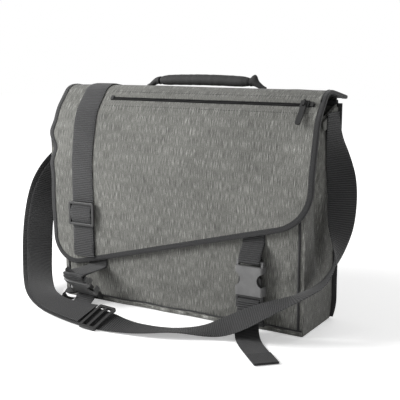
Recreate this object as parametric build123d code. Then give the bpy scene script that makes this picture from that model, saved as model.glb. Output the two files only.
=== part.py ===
from build123d import *
import os

# A soft messenger bag standing on its base.
# X runs to the right of someone facing the bag, Y towards its back, Z up.
# The origin is on the floor, under the middle of the body. All sizes are in millimetres.

# ---- overall sizes -------------------------------------------------------------------------
BODY_WIDTH = 370.0
BODY_DEPTH = 95.0
BACK_HEIGHT = 284.0
FRONT_HEIGHT = 254.0

# ---- fabric, foam and webbing ----------------------------------------------------------------
PANEL = 2.0            # fabric with its lining
BACK_PAD = 4.0         # foam-filled back panel
BASE_THICKNESS = 2.0
BOARD_THICKNESS = 2.0
BOARD_MARGIN = 5.0
DIVIDER_PAD = 5.0
DIVIDER_HEIGHT = 235.0
SLEEVE_DEPTH = 17.0    # room for a laptop between divider and back
SEAM_GAP = 0.2         # between pieces that are sewn face to face
SOFT_GAP = 0.4         # between pieces that move past each other

WEBBING = 1.6          # thickness of all straps
SHOULDER_WIDTH = 38.0
FLAP_STRAP_WIDTH = 35.0
TAIL_WIDTH = 24.0      # the folded end of the left closure strap
CLOSURE_WIDTH = 30.0

# ---- flap ------------------------------------------------------------------------------------
FLAP_OVERHANG = 13.0   # past each side of the body
FLAP_FRONT_GAP = 9.5   # from the body's front to the flap's outside
FLAP_SHELL = 2.2
FLAP_LINING = 0.8
FLAP_BINDING_WIDTH = 6.5
FLAP_BACK_LIFT = 7.0   # flap's back edge above the back panel
CREST_RISE = 18.4      # crest corner above the back panel's top
CREST_Y = -14.0
SHOULDER_DROP = 18.0   # lower corner of the zip's facet below the back panel's top
SHOULDER_Y = -44.0
FRONT_DROP = 84.0      # where the flap's front turns upright
CREST_RADIUS = 25.0
SHOULDER_RADIUS = 45.0
FRONT_RADIUS = 120.0
HEM_MIDDLE = 91.4      # height of the hem at the middle of the bag
HEM_SLOPE = 0.255      # the hem climbs to the right
HEM_LEFT_RADIUS = 38.0
HEM_RIGHT_RADIUS = 60.0

# ---- zip -------------------------------------------------------------------------------------
ZIP_LENGTH = 298.0
ZIP_LEFT = -112.0
ZIP_DOWN_FACET = 25.0  # from the crest corner down the facet to the teeth
ZIP_TAPE_WIDTH = 20.0
ZIP_TAPE = 0.6
COIL_WIDTH = 4.6
COIL_HEIGHT = 1.5
ZIP_SLIDER_LENGTH = 11.0
ZIP_SLIDER_WIDTH = 8.4
ZIP_BRIDGE_WIDTH = 2.4
ZIP_BRIDGE_LENGTH = 8.2
ZIP_BRIDGE_POST = 1.3
PULLER_LENGTH = 26.0
PULLER_WIDTH = 7.0
PULLER_TAB = 1.6        # thickness of its tab
PULLER_ARMS = 5.6       # across its two arms
PULLER_PIN = 0.6        # radius of its pin
PULLER_EYE = 5.4        # from the pin down to the tab: clears the bridge's corner

# ---- flap strap and its tri-glide ----------------------------------------------------------
FLAP_STRAP_X = -143.0
FLAP_STRAP_TOP_X = -124.0
FOLD_TOP = 128.0
GLIDE_Z = 125.0
GLIDE_BAR = 3.6
GLIDE_THICKNESS = 3.4

# ---- side-release buckles --------------------------------------------------------------------
BUCKLE_WIDTH = 38.0
BUCKLE_DEPTH = 12.0
SOCKET_LENGTH = 44.0
BUCKLE_WALL = 2.0
BAR_ZONE = 9.0         # the socket's webbing bar and slot
PLUG_BASE = 17.0
ARM_LENGTH = 26.0
ARM_SIDE_GAP = 1.2
WINDOW_RADIUS = 9.0
BAR_DEPTH = 5.6
BAR_HEIGHT = 2.8
PLUG_DEPTH = 7.0
RIGHT_BUCKLE = (118.0, -60.0, 48.0)   # middle of the socket's mouth
LEFT_BUCKLE = (-132.5, -68.4, 19.2)
LEFT_PITCH = 50.0      # the left buckle leans out at its top
LEFT_ROLL = 9.0
TAB_MEET = 8.4         # where the tab's two layers meet above the bar
TAB_UNDER_FLAP = 34.0  # how far a buckle's tab runs up under the flap

# ---- carry handle ----------------------------------------------------------------------------
HANDLE_Y = 30.0
GRIP_LENGTH = 144.0
GRIP_RADIUS = 8.0
GRIP_LIFT = 9.5        # the grip's middle above the pivot line
HANDLE_SPAN = 184.0    # between the two ends of the handle's cords
CORD_TIP_RADIUS = 2.5
TAB_LENGTH = 26.0
TAB_WIDTH = 24.0
TAB_THICKNESS = 1.8

# ---- shoulder strap fittings ------------------------------------------------------------------
RIGHT_ANCHOR_Y = 25.0
LEFT_ANCHOR_Y = 21.0
ANCHOR_SEAM_Z = 257.0
ANCHOR_HEIGHT = 24.0
RING_WIDTH = 47.4
RING_HEIGHT = 27.0
RING_BAR = 4.0
RING_THICKNESS = 3.4
RING_EYE_RADIUS = 3.0     # webbing's turn round a ring bar
RING_TILT = 40.0
RING_TOP_Z = 242.0
SLIDER_X = -61.0       # where it sits along the strap
SLIDER_LENGTH = 27.0
SLIDER_WIDTH = 47.0
SLIDER_BAR = 4.0
SLIDER_THICKNESS = 3.4

HALF_WIDTH = BODY_WIDTH / 2
HALF_DEPTH = BODY_DEPTH / 2
FLAP_HALF = HALF_WIDTH + FLAP_OVERHANG
FRONT_Y = -HALF_DEPTH
BACK_Y = HALF_DEPTH
FLAP_FRONT_Y = FRONT_Y - FLAP_FRONT_GAP
LEAN_START = FRONT_HEIGHT - 31.0      # the front panel leans back above this
LEAN_BACK = 9.5
STRAP_CLEAR = WEBBING + SEAM_GAP

# The shoulder strap's route, from the right anchor to the left ring, each point with the
# direction of the strap's width there.
STRAP_ROUTE = [
    ((188.6, 25, 272), (0, 1, 0)),
    ((189.6, 25, 244), (0.1, 1, 0)),
    ((197, 24, 216), (0.5, 0.87, 0)),
    ((205, 20, 181), (0.86, 0.51, 0)),
    ((208, 12, 141), (0.7, 0.71, 0)),
    ((210, 0, 109), (0.1, 1, 0)),
    ((210, -17, 86), (-0.3, 0.95, 0)),
    ((206, -45, 69), (-0.4, 0.91, -0.1)),
    ((192, -76, 60), (-0.4, 0.91, -0.05)),
    ((163, -89, 46), (-0.42, 0.87, 0.15)),
    ((131, -92, 29), (-0.4, 0.82, 0.4)),
    ((101, -92, 13.5), (-0.42, 0.82, 0.38)),
    ((74, -102, 5), (-0.5, 0.86, 0)),
    ((44, -121, 7), (-0.5, 0.85, -0.22)),
    ((14, -130, 4.5), (-0.45, 0.88, -0.1)),
    ((-18, -133, 3), (-0.4, 0.9, 0.05)),
    ((-48, -138, 7.5), (0, 0.95, 0.3)),
    ((-82, -136, 9), (0.28, 0.88, 0.38)),
    ((-119, -126, 6.5), (0.1, 0.97, 0.2)),
    ((-160, -111, 5), (-0.1, 0.98, 0.1)),
    ((-200, -90, 8), (-0.2, 0.96, 0)),
    ((-233, -60, 17), (0, 1, 0)),
    ((-258, -32, 36), (0.35, 0.93, 0)),
    ((-275, -11, 64), (0.7, 0.71, 0)),
    ((-282, 2, 98), (0.8, 0.6, 0)),
    ((-277, 10, 138), (0.75, 0.66, 0)),
    ((-260, 15, 174), (0.5, 0.87, 0)),
    ((-235, 19, 204), (0.2, 0.98, 0)),
    ((-209.8, 21, 226.6), (0, 1, 0)),
]

# The doubled layer, from the ring back to the slider on the strap.
RETURN_ROUTE = [
    ((-205.4, 21, 220.3), (0, 1, 0)),
    ((-229, 18.5, 198), (0.2, 0.98, 0)),
    ((-252, 14, 169), (0.5, 0.87, 0)),
    ((-268, 9, 135), (0.75, 0.66, 0)),
    ((-273, 1, 98), (0.8, 0.6, 0)),
    ((-266, -11, 67), (0.7, 0.71, 0)),
    ((-250, -31, 41), (0.35, 0.93, 0)),
    ((-227, -57, 22.5), (0, 1, 0)),
    ((-197, -87, 12.5), (-0.2, 0.96, 0)),
    ((-159, -110, 8.6), (-0.1, 0.98, 0.1)),
    ((-118, -125, 10), (0.1, 0.97, 0.2)),
    ((-79, -134, 12.6), (0.26, 0.88, 0.36)),
]

# The closure straps, from the seam at the base, through the plug, to the free end.
RIGHT_CLOSURE_ROUTE = [
    ((118, -48.8, 5), (1, 0, 0)),
    ((118, -50, 18), (1, 0, 0)),
    ((118, -54.5, 31), (1, 0, 0)),
    ((118, -54.7, 43.2), (1, 0, 0)),
    ((118, -65.5, 43), (1, 0, 0)),
    ((118, -65.7, 32), (1, 0, 0)),
    ((119, -69, 23), (1, 0, 0)),
    ((123, -79, 13), (0.98, 0.2, 0)),
    ((131, -93, 4.8), (0.95, 0.3, 0)),
    ((143, -107, 1.6), (0.8, 0.6, 0)),
    ((163, -128, 1.4), (0.72, 0.69, 0)),
    ((187, -153, 1.4), (0.72, 0.69, 0)),
]

LEFT_CLOSURE_ROUTE = [
    ((-135.5, -49.4, 5.4), (1, 0, 0)),
    ((-135.4, -50.6, 12.6), (1, 0, 0)),
    ((-134.9, -54.6, 15.2), (0.99, 0.12, -0.1)),
    ((-133.6, -61.6, 20.2), (0.99, 0.12, -0.1)),
    ((-133.4, -68.2, 12.2), (0.99, 0.12, -0.1)),
    ((-133.6, -73, 6.4), (1, 0, 0)),
    ((-134, -79.5, 2), (1, 0, 0)),
    ((-134.5, -89, 1.4), (1, 0, 0)),
]

# The left free end is folded aside at the floor and curls back under itself.
LEFT_TAIL_ROUTE = [
    ((-154, -70.5, 12), (-0.5, 0.86, 0)),
    ((-160, -70.7, 15), (-0.5, 0.86, 0)),
    ((-167.5, -70.9, 13.6), (-0.5, 0.86, 0)),
    ((-172, -70.9, 7.6), (-0.5, 0.86, 0)),
    ((-168.5, -70.7, 2.2), (-0.5, 0.86, 0)),
    ((-161, -70.5, 1.2), (-0.5, 0.86, 0)),
]


# ---- helpers ---------------------------------------------------------------------------------
def shifted(corners, distance):
    """Moves an open line of corners sideways, to its left as it is drawn."""
    normals = []
    for start, end in zip(corners, corners[1:]):
        run = Vector(end[0] - start[0], end[1] - start[1])
        normals.append(Vector(-run.Y, run.X) / run.length)
    moved = [Vector(*corners[0]) + normals[0] * distance]
    for corner, before, after in zip(corners[1:-1], normals, normals[1:]):
        middle = (before + after).normalized()
        moved.append(Vector(*corner) + middle * (distance / middle.dot(before)))
    moved.append(Vector(*corners[-1]) + normals[-1] * distance)
    return [(point.X, point.Y) for point in moved]


def side_line(corners, radii, outward):
    """The rounded side line of a sheet, moved outward, in the YZ plane."""
    points = shifted(corners, -outward)
    sizes = [radius + outward for radius in radii]
    return FilletPolyline(*points, radius=sizes)


def sheet(corners, radii, inner, outer, half_width):
    """A sheet of constant thickness whose side line is drawn by its corners."""
    out = side_line(corners, radii, outer)
    back = side_line(corners, radii, inner)
    first = Line(out @ 0, back @ 0)
    last = Line(out @ 1, back @ 1)
    section = make_face([*out.edges(), first, *back.edges(), last])
    return extrude(Plane.YZ * section, half_width, both=True)


FLAP_CORNERS = [
    (BACK_Y, BACK_HEIGHT + FLAP_BACK_LIFT),
    (CREST_Y, BACK_HEIGHT + CREST_RISE),
    (SHOULDER_Y, BACK_HEIGHT - SHOULDER_DROP),
    (FLAP_FRONT_Y, BACK_HEIGHT - FRONT_DROP),
    (FLAP_FRONT_Y, 0),
]
FLAP_RADII = [CREST_RADIUS, SHOULDER_RADIUS, FRONT_RADIUS]


def flap_layer(inner, outer):
    return sheet(FLAP_CORNERS, FLAP_RADII, inner, outer, FLAP_HALF + 1)


def front_cut(outline):
    """A block with this outline seen from the front, through the whole bag."""
    return extrude(Plane.XZ * outline, BODY_DEPTH, both=True)


def hem_at(x):
    return HEM_MIDDLE + HEM_SLOPE * x


def flap_outline(inset=0.0):
    """The flap seen from the front: a slanted hem with two round corners."""
    side = FLAP_HALF - inset
    lift = inset * (1 + HEM_SLOPE**2) ** 0.5
    top = BACK_HEIGHT + 60
    line = FilletPolyline(
        (-side, top),
        (-side, hem_at(-side) + lift),
        (side, hem_at(side) + lift),
        (side, top),
        radius=[HEM_LEFT_RADIUS - inset, HEM_RIGHT_RADIUS - inset],
    )
    return make_face([*line.edges(), Line(line @ 1, line @ 0)])


def box_between(low, high):
    size = [b - a for a, b in zip(low, high)]
    middle = [(a + b) / 2 for a, b in zip(low, high)]
    return Pos(*middle) * Box(*size)


def tube_route(route):
    """Straight runs joined by tangent arcs, each as large as its two runs allow."""
    points = [Vector(*point) for point, _ in route]
    radii = []
    for before, here, after in zip(points, points[1:], points[2:]):
        turn = (here - before).get_angle(after - here)
        shorter = min((here - before).length, (after - here).length)
        radii.append(0.45 * shorter / tan_degrees(turn / 2))
    return FilletPolyline(*points, radius=radii), radii


def tan_degrees(angle):
    unit = Vector(1, 0, 0).rotate(Axis.Z, angle)
    return unit.Y / unit.X


def width_at(route, share):
    """The direction of a strap's width at this share of its route."""
    points = [Vector(*point) for point, _ in route]
    runs = [(b - a).length for a, b in zip(points, points[1:])]
    left = share * sum(runs)
    for run, (_, start), (_, end) in zip(runs, route, route[1:]):
        if left <= run:
            mix = left / run
            return Vector(*start) * (1 - mix) + Vector(*end) * mix
        left -= run
    return Vector(*route[-1][1])


def strap_sections(route, width, thickness, spacing):
    path, radii = tube_route(route)
    count = max(3, round(path.length / spacing))
    sections = []
    for index in range(count + 1):
        share = index / count
        along = path % share
        across = width_at(route, share)
        across = (across - along * across.dot(along)).normalized() * (width / 2)
        up = along.cross(across).normalized() * (thickness / 2)
        middle = path @ share
        corners = [across + up, up - across, -across - up, across - up]
        sections.append([middle + corner for corner in corners])
    return sections, path, radii


def strap(route, width, name, spacing=16.0):
    """A flat strap along a route, closed by flat triangles. Its two faces share their diagonals,
    so that it keeps its thickness where it twists."""
    sections, path, radii = strap_sections(route, width, WEBBING, spacing)
    triangles = []
    for near, far in zip(sections, sections[1:]):
        for side in range(4):
            other = (side + 1) % 4
            if side == 2:
                triangles.append((near[side], near[other], far[side]))
                triangles.append((near[other], far[other], far[side]))
            else:
                triangles.append((near[side], near[other], far[other]))
                triangles.append((near[side], far[other], far[side]))
    for end in (sections[0][::-1], sections[-1]):
        triangles.append((end[0], end[1], end[2]))
        triangles.append((end[0], end[2], end[3]))
    faces = [Face(Wire.make_polygon(corners)) for corners in triangles]
    solid = Solid(Shell(faces))
    shortest = min(radii)
    print(f"{name}: length {path.length:.0f}, smallest radius {shortest:.0f}")
    print("   radii", [round(radius) for radius in radii])
    print(f"   volume {solid.volume:.0f}, section x length {width * WEBBING * path.length:.0f}")
    return solid


def frame_plate(width, length, thickness, bar, slots=1):
    """A moulded frame that a strap runs through, flat on XY, with one or two slots."""
    plate = extrude(RectangleRounded(width, length, bar * 0.7), thickness / 2, both=True)
    opening = (length - bar * (slots + 1)) / slots
    for index in range(slots):
        middle = -length / 2 + bar + opening / 2 + index * (opening + bar)
        plate -= Pos(0, middle, 0) * Box(width - 2 * bar, opening, thickness * 2)
    return plate


# ---- the body ----------------------------------------------------------------------------------
def base_panel():
    return box_between((-HALF_WIDTH, FRONT_Y, 0), (HALF_WIDTH, BACK_Y, BASE_THICKNESS))


def base_board():
    bottom = BASE_THICKNESS + SEAM_GAP
    inner = HALF_WIDTH - PANEL - BOARD_MARGIN
    front = FRONT_Y + PANEL + BOARD_MARGIN
    back = BACK_Y - BACK_PAD - SEAM_GAP
    board = box_between((-inner, front, bottom), (inner, back, bottom + BOARD_THICKNESS))
    return fillet(board.edges().filter_by(Axis.Z), 8)


def front_line():
    return [
        (FRONT_Y, BASE_THICKNESS),
        (FRONT_Y, LEAN_START),
        (FRONT_Y + LEAN_BACK, FRONT_HEIGHT),
    ]


def front_sheet(inner, outer, half_width):
    points = front_line()
    points.reverse()
    return sheet(points, [60], inner, outer, half_width)


def front_panel():
    return front_sheet(-PANEL, 0, HALF_WIDTH)


def front_top_binding():
    """A folded tape that sits on the front panel's top edge."""
    end = Vector(*front_line()[2])
    start = Vector(*front_line()[1])
    along = (end - start).normalized()
    out = Vector(-along.Y, along.X)
    height = 8.0
    first = end + out * 0.7
    second = end - out * (PANEL + 0.7)
    profile = Polygon(
        (first.X, first.Y),
        (second.X, second.Y),
        (second.X + along.X * height, second.Y + along.Y * height),
        (first.X + along.X * height, first.Y + along.Y * height),
        align=None,
    )
    return extrude(Plane.YZ * profile, HALF_WIDTH, both=True)


def back_panel():
    low = (-HALF_WIDTH, BACK_Y - BACK_PAD, BASE_THICKNESS)
    return box_between(low, (HALF_WIDTH, BACK_Y, BACK_HEIGHT))


def back_top_binding():
    low = (-HALF_WIDTH, BACK_Y - BACK_PAD - 0.5, BACK_HEIGHT)
    return box_between(low, (HALF_WIDTH, BACK_Y + 0.5, BACK_HEIGHT + 2.4))


def gusset(side):
    """A side panel that rises from the front's top edge to the back's."""
    inside = FRONT_Y + PANEL
    outline = Polygon(
        (inside, BASE_THICKNESS),
        (BACK_Y - BACK_PAD, BASE_THICKNESS),
        (BACK_Y - BACK_PAD, BACK_HEIGHT - 3),
        (inside + LEAN_BACK + 2, FRONT_HEIGHT - 2),
        (inside + 0.4, LEAN_START - 4),
        align=None,
    )
    panel = extrude(Plane.YZ * outline, PANEL)
    return Pos(HALF_WIDTH - PANEL if side > 0 else -HALF_WIDTH, 0, 0) * panel


def divider():
    """A foam-filled divider that stands on the base board and makes a laptop sleeve."""
    bottom = BASE_THICKNESS + BOARD_THICKNESS + 2 * SEAM_GAP
    back = BACK_Y - BACK_PAD - SLEEVE_DEPTH
    half = HALF_WIDTH - PANEL - SEAM_GAP
    pad = box_between((-half, back - DIVIDER_PAD, bottom), (half, back, DIVIDER_HEIGHT))
    return fillet(pad.edges().filter_by(Axis.X).sort_by(Axis.Z)[-2:], 2)


def front_seam_tape(side):
    """Half-round tape over the seam between the front and a side."""
    top = LEAN_START - 6
    rod = Cylinder(1.6, top - 4, align=(Align.CENTER, Align.CENTER, Align.MIN))
    rod = Pos(side * (HALF_WIDTH - 8), FRONT_Y, 4) * rod
    return rod & box_between((-HALF_WIDTH, FRONT_Y - 5, 0), (HALF_WIDTH, FRONT_Y, FRONT_HEIGHT))


def base_welt():
    """The folded edge along the bottom of the front."""
    strip = box_between((-HALF_WIDTH, FRONT_Y - 2, 0), (HALF_WIDTH, FRONT_Y, 3.6))
    return fillet(strip.edges().filter_by(Axis.X).sort_by(Axis.Y)[:2], 0.9)


def back_seam_binding(side):
    """A bound seam that stands out along a back corner."""
    near = HALF_WIDTH
    far = HALF_WIDTH + 6
    low = (min(side * near, side * far), BACK_Y - 3.4, 3)
    high = (max(side * near, side * far), BACK_Y - 0.8, BACK_HEIGHT - 2)
    fin = box_between(low, high)
    outer = fin.edges().filter_by(Axis.Z).sort_by(Axis.X)
    return fillet(outer[-2:] if side > 0 else outer[:2], 1.1)


# ---- shoulder strap fittings -----------------------------------------------------------------
def strap_anchor(side):
    """A tapered patch that carries a shoulder strap's end on the side panel."""
    middle = RIGHT_ANCHOR_Y if side > 0 else LEFT_ANCHOR_Y
    near = middle - 26
    top = ANCHOR_SEAM_Z + ANCHOR_HEIGHT
    outline = Polygon(
        (near, ANCHOR_SEAM_Z - 6),
        (BACK_Y - 4, ANCHOR_SEAM_Z - 6),
        (BACK_Y - 4, top - 4),
        (middle + 6, top - 4),
        (near, ANCHOR_SEAM_Z + 5),
        align=None,
    )
    patch = extrude(Plane.YZ * outline, PANEL)
    out = HALF_WIDTH + SEAM_GAP
    return Pos(out if side > 0 else -out - PANEL, 0, 0) * patch


RING_OUT = HALF_WIDTH + PANEL + SEAM_GAP + RING_EYE_RADIUS + WEBBING
RING_EYE = Vector(-RING_OUT, LEFT_ANCHOR_Y, RING_TOP_Z)
RING_DOWN = Vector(0, 0, -1).rotate(Axis.Y, RING_TILT)


def ring_plane(distance):
    """A plane on the ring, this far down it from the bar in the tab's eye."""
    normal = RING_DOWN.cross(Vector(0, 1, 0))
    return Plane(RING_EYE + RING_DOWN * distance, x_dir=(0, 1, 0), z_dir=normal)


def strap_ring():
    plate = frame_plate(RING_WIDTH, RING_HEIGHT, RING_THICKNESS, RING_BAR)
    ring = ring_plane((RING_HEIGHT - RING_BAR) / 2) * plate
    return fillet(ring.edges().filter_by(GeomType.LINE).filter_by(Axis.Y), 0.8)


def ring_tab():
    """Folded webbing sewn to the left anchor, closed round the ring's upper bar."""
    eye_out = RING_EYE_RADIUS + WEBBING
    eye_in = RING_EYE_RADIUS
    tab_top = ANCHOR_SEAM_Z + 14
    loop = Circle(eye_out) - Circle(eye_in)
    height = tab_top - RING_TOP_Z
    leg = Rectangle(2 * WEBBING, height, align=(Align.MAX, Align.MIN))
    section = loop + (Pos(eye_out, 0) * leg - Circle(eye_in))
    section = Pos(RING_EYE.X, RING_TOP_Z) * section
    tab = extrude(Plane.XZ * section, SHOULDER_WIDTH / 2, both=True)
    return Pos(0, LEFT_ANCHOR_Y, 0) * tab


def ring_loop():
    """The strap's turn round the ring's lower bar."""
    inner = RING_EYE_RADIUS
    middle = RING_EYE + RING_DOWN * (RING_HEIGHT - RING_BAR)
    tube = Circle(inner + WEBBING) - Circle(inner)
    half = tube & (Pos(10, 0) * Rectangle(20, 20))
    turn = extrude(half, SHOULDER_WIDTH / 2, both=True)
    plane = Plane(middle, x_dir=(0.78, 0, 0.63), z_dir=(0, 1, 0))
    return plane * turn


def share_at_x(path, x):
    """How far along the strap's front run it passes this place, as a share of its length."""
    low, high = 0.4, 0.7
    for _ in range(30):
        middle = (low + high) / 2
        if (path @ middle).X > x:
            low = middle
        else:
            high = middle
    return low


def strap_slider():
    """A tri-glide that lies on the strap; the doubled layer ends beside it."""
    path, _ = tube_route(STRAP_ROUTE)
    share = share_at_x(path, SLIDER_X)
    along = path % share
    across = width_at(STRAP_ROUTE, share)
    across = (across - along * across.dot(along)).normalized()
    up = along.cross(across)
    if up.Z < 0:
        up = up * -1
    lift = WEBBING / 2 + SOFT_GAP + SLIDER_THICKNESS / 2
    plane = Plane(path @ share + up * lift, x_dir=across, z_dir=up)
    return plane * frame_plate(SLIDER_WIDTH, SLIDER_LENGTH, SLIDER_THICKNESS, SLIDER_BAR, slots=2)


# ---- flap ----------------------------------------------------------------------------------------
def flap_shell():
    return flap_layer(-FLAP_SHELL, 0) & front_cut(flap_outline(FLAP_BINDING_WIDTH))


def flap_lining():
    outer = -FLAP_SHELL - SEAM_GAP
    return flap_layer(outer - FLAP_LINING, outer) & front_cut(flap_outline(FLAP_BINDING_WIDTH))


def flap_binding():
    """Folded tape round the two sides and the hem."""
    inner = -FLAP_SHELL - SEAM_GAP - FLAP_LINING - 0.4
    rim = flap_outline() - flap_outline(FLAP_BINDING_WIDTH)
    return flap_layer(inner, 0.8) & front_cut(rim)


def strap_strip(width, low, high):
    """The flap strap seen from the front: upright, then leaning in over the shoulder."""
    half = width / 2
    bend = BACK_HEIGHT - 50
    top = BACK_HEIGHT + 30
    points = [(FLAP_STRAP_X, low), (FLAP_STRAP_X, bend), (FLAP_STRAP_TOP_X, top)]
    if high < bend:
        points = [(FLAP_STRAP_X, low), (FLAP_STRAP_X, high)]
    left = [(x - half, z) for x, z in points]
    right = [(x + half, z) for x, z in reversed(points)]
    return make_face(Polyline(*left, *right, close=True).edges())


def flap_strap():
    low = hem_at(FLAP_STRAP_X) + FLAP_BINDING_WIDTH + 6
    layer = flap_layer(SEAM_GAP, SEAM_GAP + WEBBING)
    return layer & front_cut(strap_strip(FLAP_STRAP_WIDTH, low, 999))


def flap_strap_fold():
    low = hem_at(FLAP_STRAP_X) + FLAP_BINDING_WIDTH + 6
    layer = flap_layer(STRAP_CLEAR + SEAM_GAP, STRAP_CLEAR + SEAM_GAP + WEBBING)
    return layer & front_cut(strap_strip(FLAP_STRAP_WIDTH - 1, low, FOLD_TOP))


def flap_triglide():
    plate = frame_plate(
        FLAP_STRAP_WIDTH + 2 * GLIDE_BAR + 1, 33, GLIDE_THICKNESS, GLIDE_BAR, slots=2
    )
    out = 2 * STRAP_CLEAR + SOFT_GAP + GLIDE_THICKNESS / 2
    place = Pos(FLAP_STRAP_X, FLAP_FRONT_Y - out, GLIDE_Z) * Rot(90, 0, 0)
    glide = place * plate
    return fillet(glide.edges().filter_by(Axis.X), 0.9)


# ---- zip -------------------------------------------------------------------------------------------
CREST = Vector(0, CREST_Y, BACK_HEIGHT + CREST_RISE)
SHOULDER = Vector(0, SHOULDER_Y, BACK_HEIGHT - SHOULDER_DROP)
FACET_DOWN = (SHOULDER - CREST).normalized()
FACET_OUT = Vector(1, 0, 0).cross(FACET_DOWN) * -1
ZIP_LINE = CREST + FACET_DOWN * ZIP_DOWN_FACET
ZIP_RIGHT = ZIP_LEFT + ZIP_LENGTH


def facet(x, lift=0.0, down=0.0):
    """A plane on the zip's facet: its X runs right, its Y up the facet, its Z outwards."""
    origin = ZIP_LINE + Vector(x, 0, 0) + FACET_OUT * lift + FACET_DOWN * down
    return Plane(origin, x_dir=(1, 0, 0), z_dir=FACET_OUT)


def on_facet(x, low, high, width, length):
    """A bar on the facet, between two heights above the fabric."""
    bar = Box(length, width, high - low, align=(Align.CENTER, Align.CENTER, Align.MIN))
    return facet(x, low) * bar


def zip_tape():
    middle = (ZIP_LEFT + ZIP_RIGHT) / 2
    return on_facet(middle, SEAM_GAP, SEAM_GAP + ZIP_TAPE, ZIP_TAPE_WIDTH, ZIP_LENGTH)


def coil_top():
    return 2 * SEAM_GAP + ZIP_TAPE + COIL_HEIGHT


def zip_coil():
    middle = (ZIP_LEFT + ZIP_RIGHT) / 2
    low = 2 * SEAM_GAP + ZIP_TAPE
    return on_facet(middle, low, coil_top(), COIL_WIDTH, ZIP_LENGTH - 12)


def zip_stops():
    low = 2 * SEAM_GAP + ZIP_TAPE
    first = on_facet(ZIP_LEFT + 3, low, coil_top() + 0.4, COIL_WIDTH + 1.5, 4)
    second = on_facet(ZIP_RIGHT - 3, low, coil_top() + 0.4, COIL_WIDTH + 1.5, 4)
    return Compound(children=[*first.solids(), *second.solids()])


ZIP_REST_X = ZIP_RIGHT - 6 - ZIP_SLIDER_LENGTH / 2 - SOFT_GAP


def zip_slider():
    """A saddle that straddles the teeth, with a bridge for the puller."""
    low = SEAM_GAP * 2 + ZIP_TAPE + SOFT_GAP
    roof = coil_top() + 0.3
    body = on_facet(ZIP_REST_X, low, roof + 1.3, ZIP_SLIDER_WIDTH, ZIP_SLIDER_LENGTH)
    body = fillet(body.edges().filter_by(Axis.X).sort_by(Axis.Y)[:1], 0.5)
    body -= on_facet(ZIP_REST_X, low - 1, roof, COIL_WIDTH + 1, ZIP_SLIDER_LENGTH + 2)
    bridge = on_facet(ZIP_REST_X, roof + 1.2, roof + 4.4, ZIP_BRIDGE_LENGTH, ZIP_BRIDGE_WIDTH)
    opening = ZIP_BRIDGE_LENGTH - 2 * ZIP_BRIDGE_POST
    bridge -= on_facet(ZIP_REST_X, roof + 1.3, roof + 3.3, opening, ZIP_BRIDGE_WIDTH + 2)
    return body + bridge


def puller_pin():
    return coil_top() + 0.3 + 2.3


def zip_puller():
    """A puller that turns on a round pin inside the bridge and hangs down the facet.

    Its two arms pass outside the bridge, and its tab starts below the bridge's foot.
    """
    pin = Cylinder(PULLER_PIN, PULLER_ARMS, rotation=(0, 90, 0))
    arms = box_between(
        (-PULLER_ARMS / 2, -PULLER_EYE - 0.4, -PULLER_PIN), (PULLER_ARMS / 2, PULLER_PIN, PULLER_PIN)
    )
    inside = ZIP_BRIDGE_WIDTH / 2 + SOFT_GAP
    arms -= box_between((-inside, -PULLER_EYE, -3), (inside, 3, 3))
    tab = Pos(0, -PULLER_EYE - PULLER_LENGTH / 2, 0) * extrude(
        RectangleRounded(PULLER_WIDTH, PULLER_LENGTH, 2), PULLER_TAB / 2, both=True
    )
    return facet(ZIP_REST_X, puller_pin()) * (pin + arms + tab)


# ---- buckles ---------------------------------------------------------------------------------------
def buckle_place(side):
    """Where a buckle is: its X runs across, its Y to the back, its Z up out of the mouth."""
    if side > 0:
        return Pos(*RIGHT_BUCKLE)
    return Pos(*LEFT_BUCKLE) * Rot(LEFT_PITCH, 0, 0) * Rot(0, LEFT_ROLL, 0)


def socket():
    """The buckle's outer half: front, two sides and a bar. Its back is open."""
    half = BUCKLE_WIDTH / 2
    front = -BUCKLE_DEPTH / 2
    inside_top = SOCKET_LENGTH - BAR_ZONE
    outside = box_between((-half, front, 0), (half, -front, inside_top + 2))
    outside = fillet(outside.edges().filter_by(Axis.Z).sort_by(Axis.Y)[:2], 3)
    inside = half - BUCKLE_WALL
    shell = outside - box_between((-inside, front + BUCKLE_WALL, -1), (inside, 20, inside_top))
    shell -= box_between((-inside, BAR_DEPTH / 2, 1), (inside, 20, SOCKET_LENGTH))
    for side in (-1, 1):
        window = Cylinder(WINDOW_RADIUS, 40, rotation=(90, 0, 0))
        shell -= Pos(side * (half + 1.5), 0, 20) * window
    thick = BAR_DEPTH / 2
    bar = box_between((-half + 0.6, -thick, inside_top + 1), (half - 0.6, thick, SOCKET_LENGTH))
    bar = fillet(bar.edges().filter_by(Axis.Y), 1.0)
    slot_top = SOCKET_LENGTH - BAR_HEIGHT
    slot = CLOSURE_WIDTH / 2 + 0.6
    bar -= box_between((-slot, -9, inside_top + 2), (slot, 9, slot_top))
    return shell + bar


def plug_base():
    """The buckle's inner half below the socket: a ladder for the webbing and a centre tongue."""
    half = BUCKLE_WIDTH / 2
    deep = PLUG_DEPTH / 2
    slot = CLOSURE_WIDTH / 2 + 0.6
    base = box_between((-half, -deep, -PLUG_BASE), (half, deep, -SOFT_GAP))
    base = fillet(base.edges().filter_by(Axis.Z), 2)
    for low in (-PLUG_BASE + 2.2, -PLUG_BASE + 9.2):
        base -= box_between((-slot, -9, low), (slot, 9, low + 4.4))
    tongue = box_between((-2.2, -1.6, -1), (2.2, 1.6, ARM_LENGTH - 4))
    return base + tongue


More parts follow.
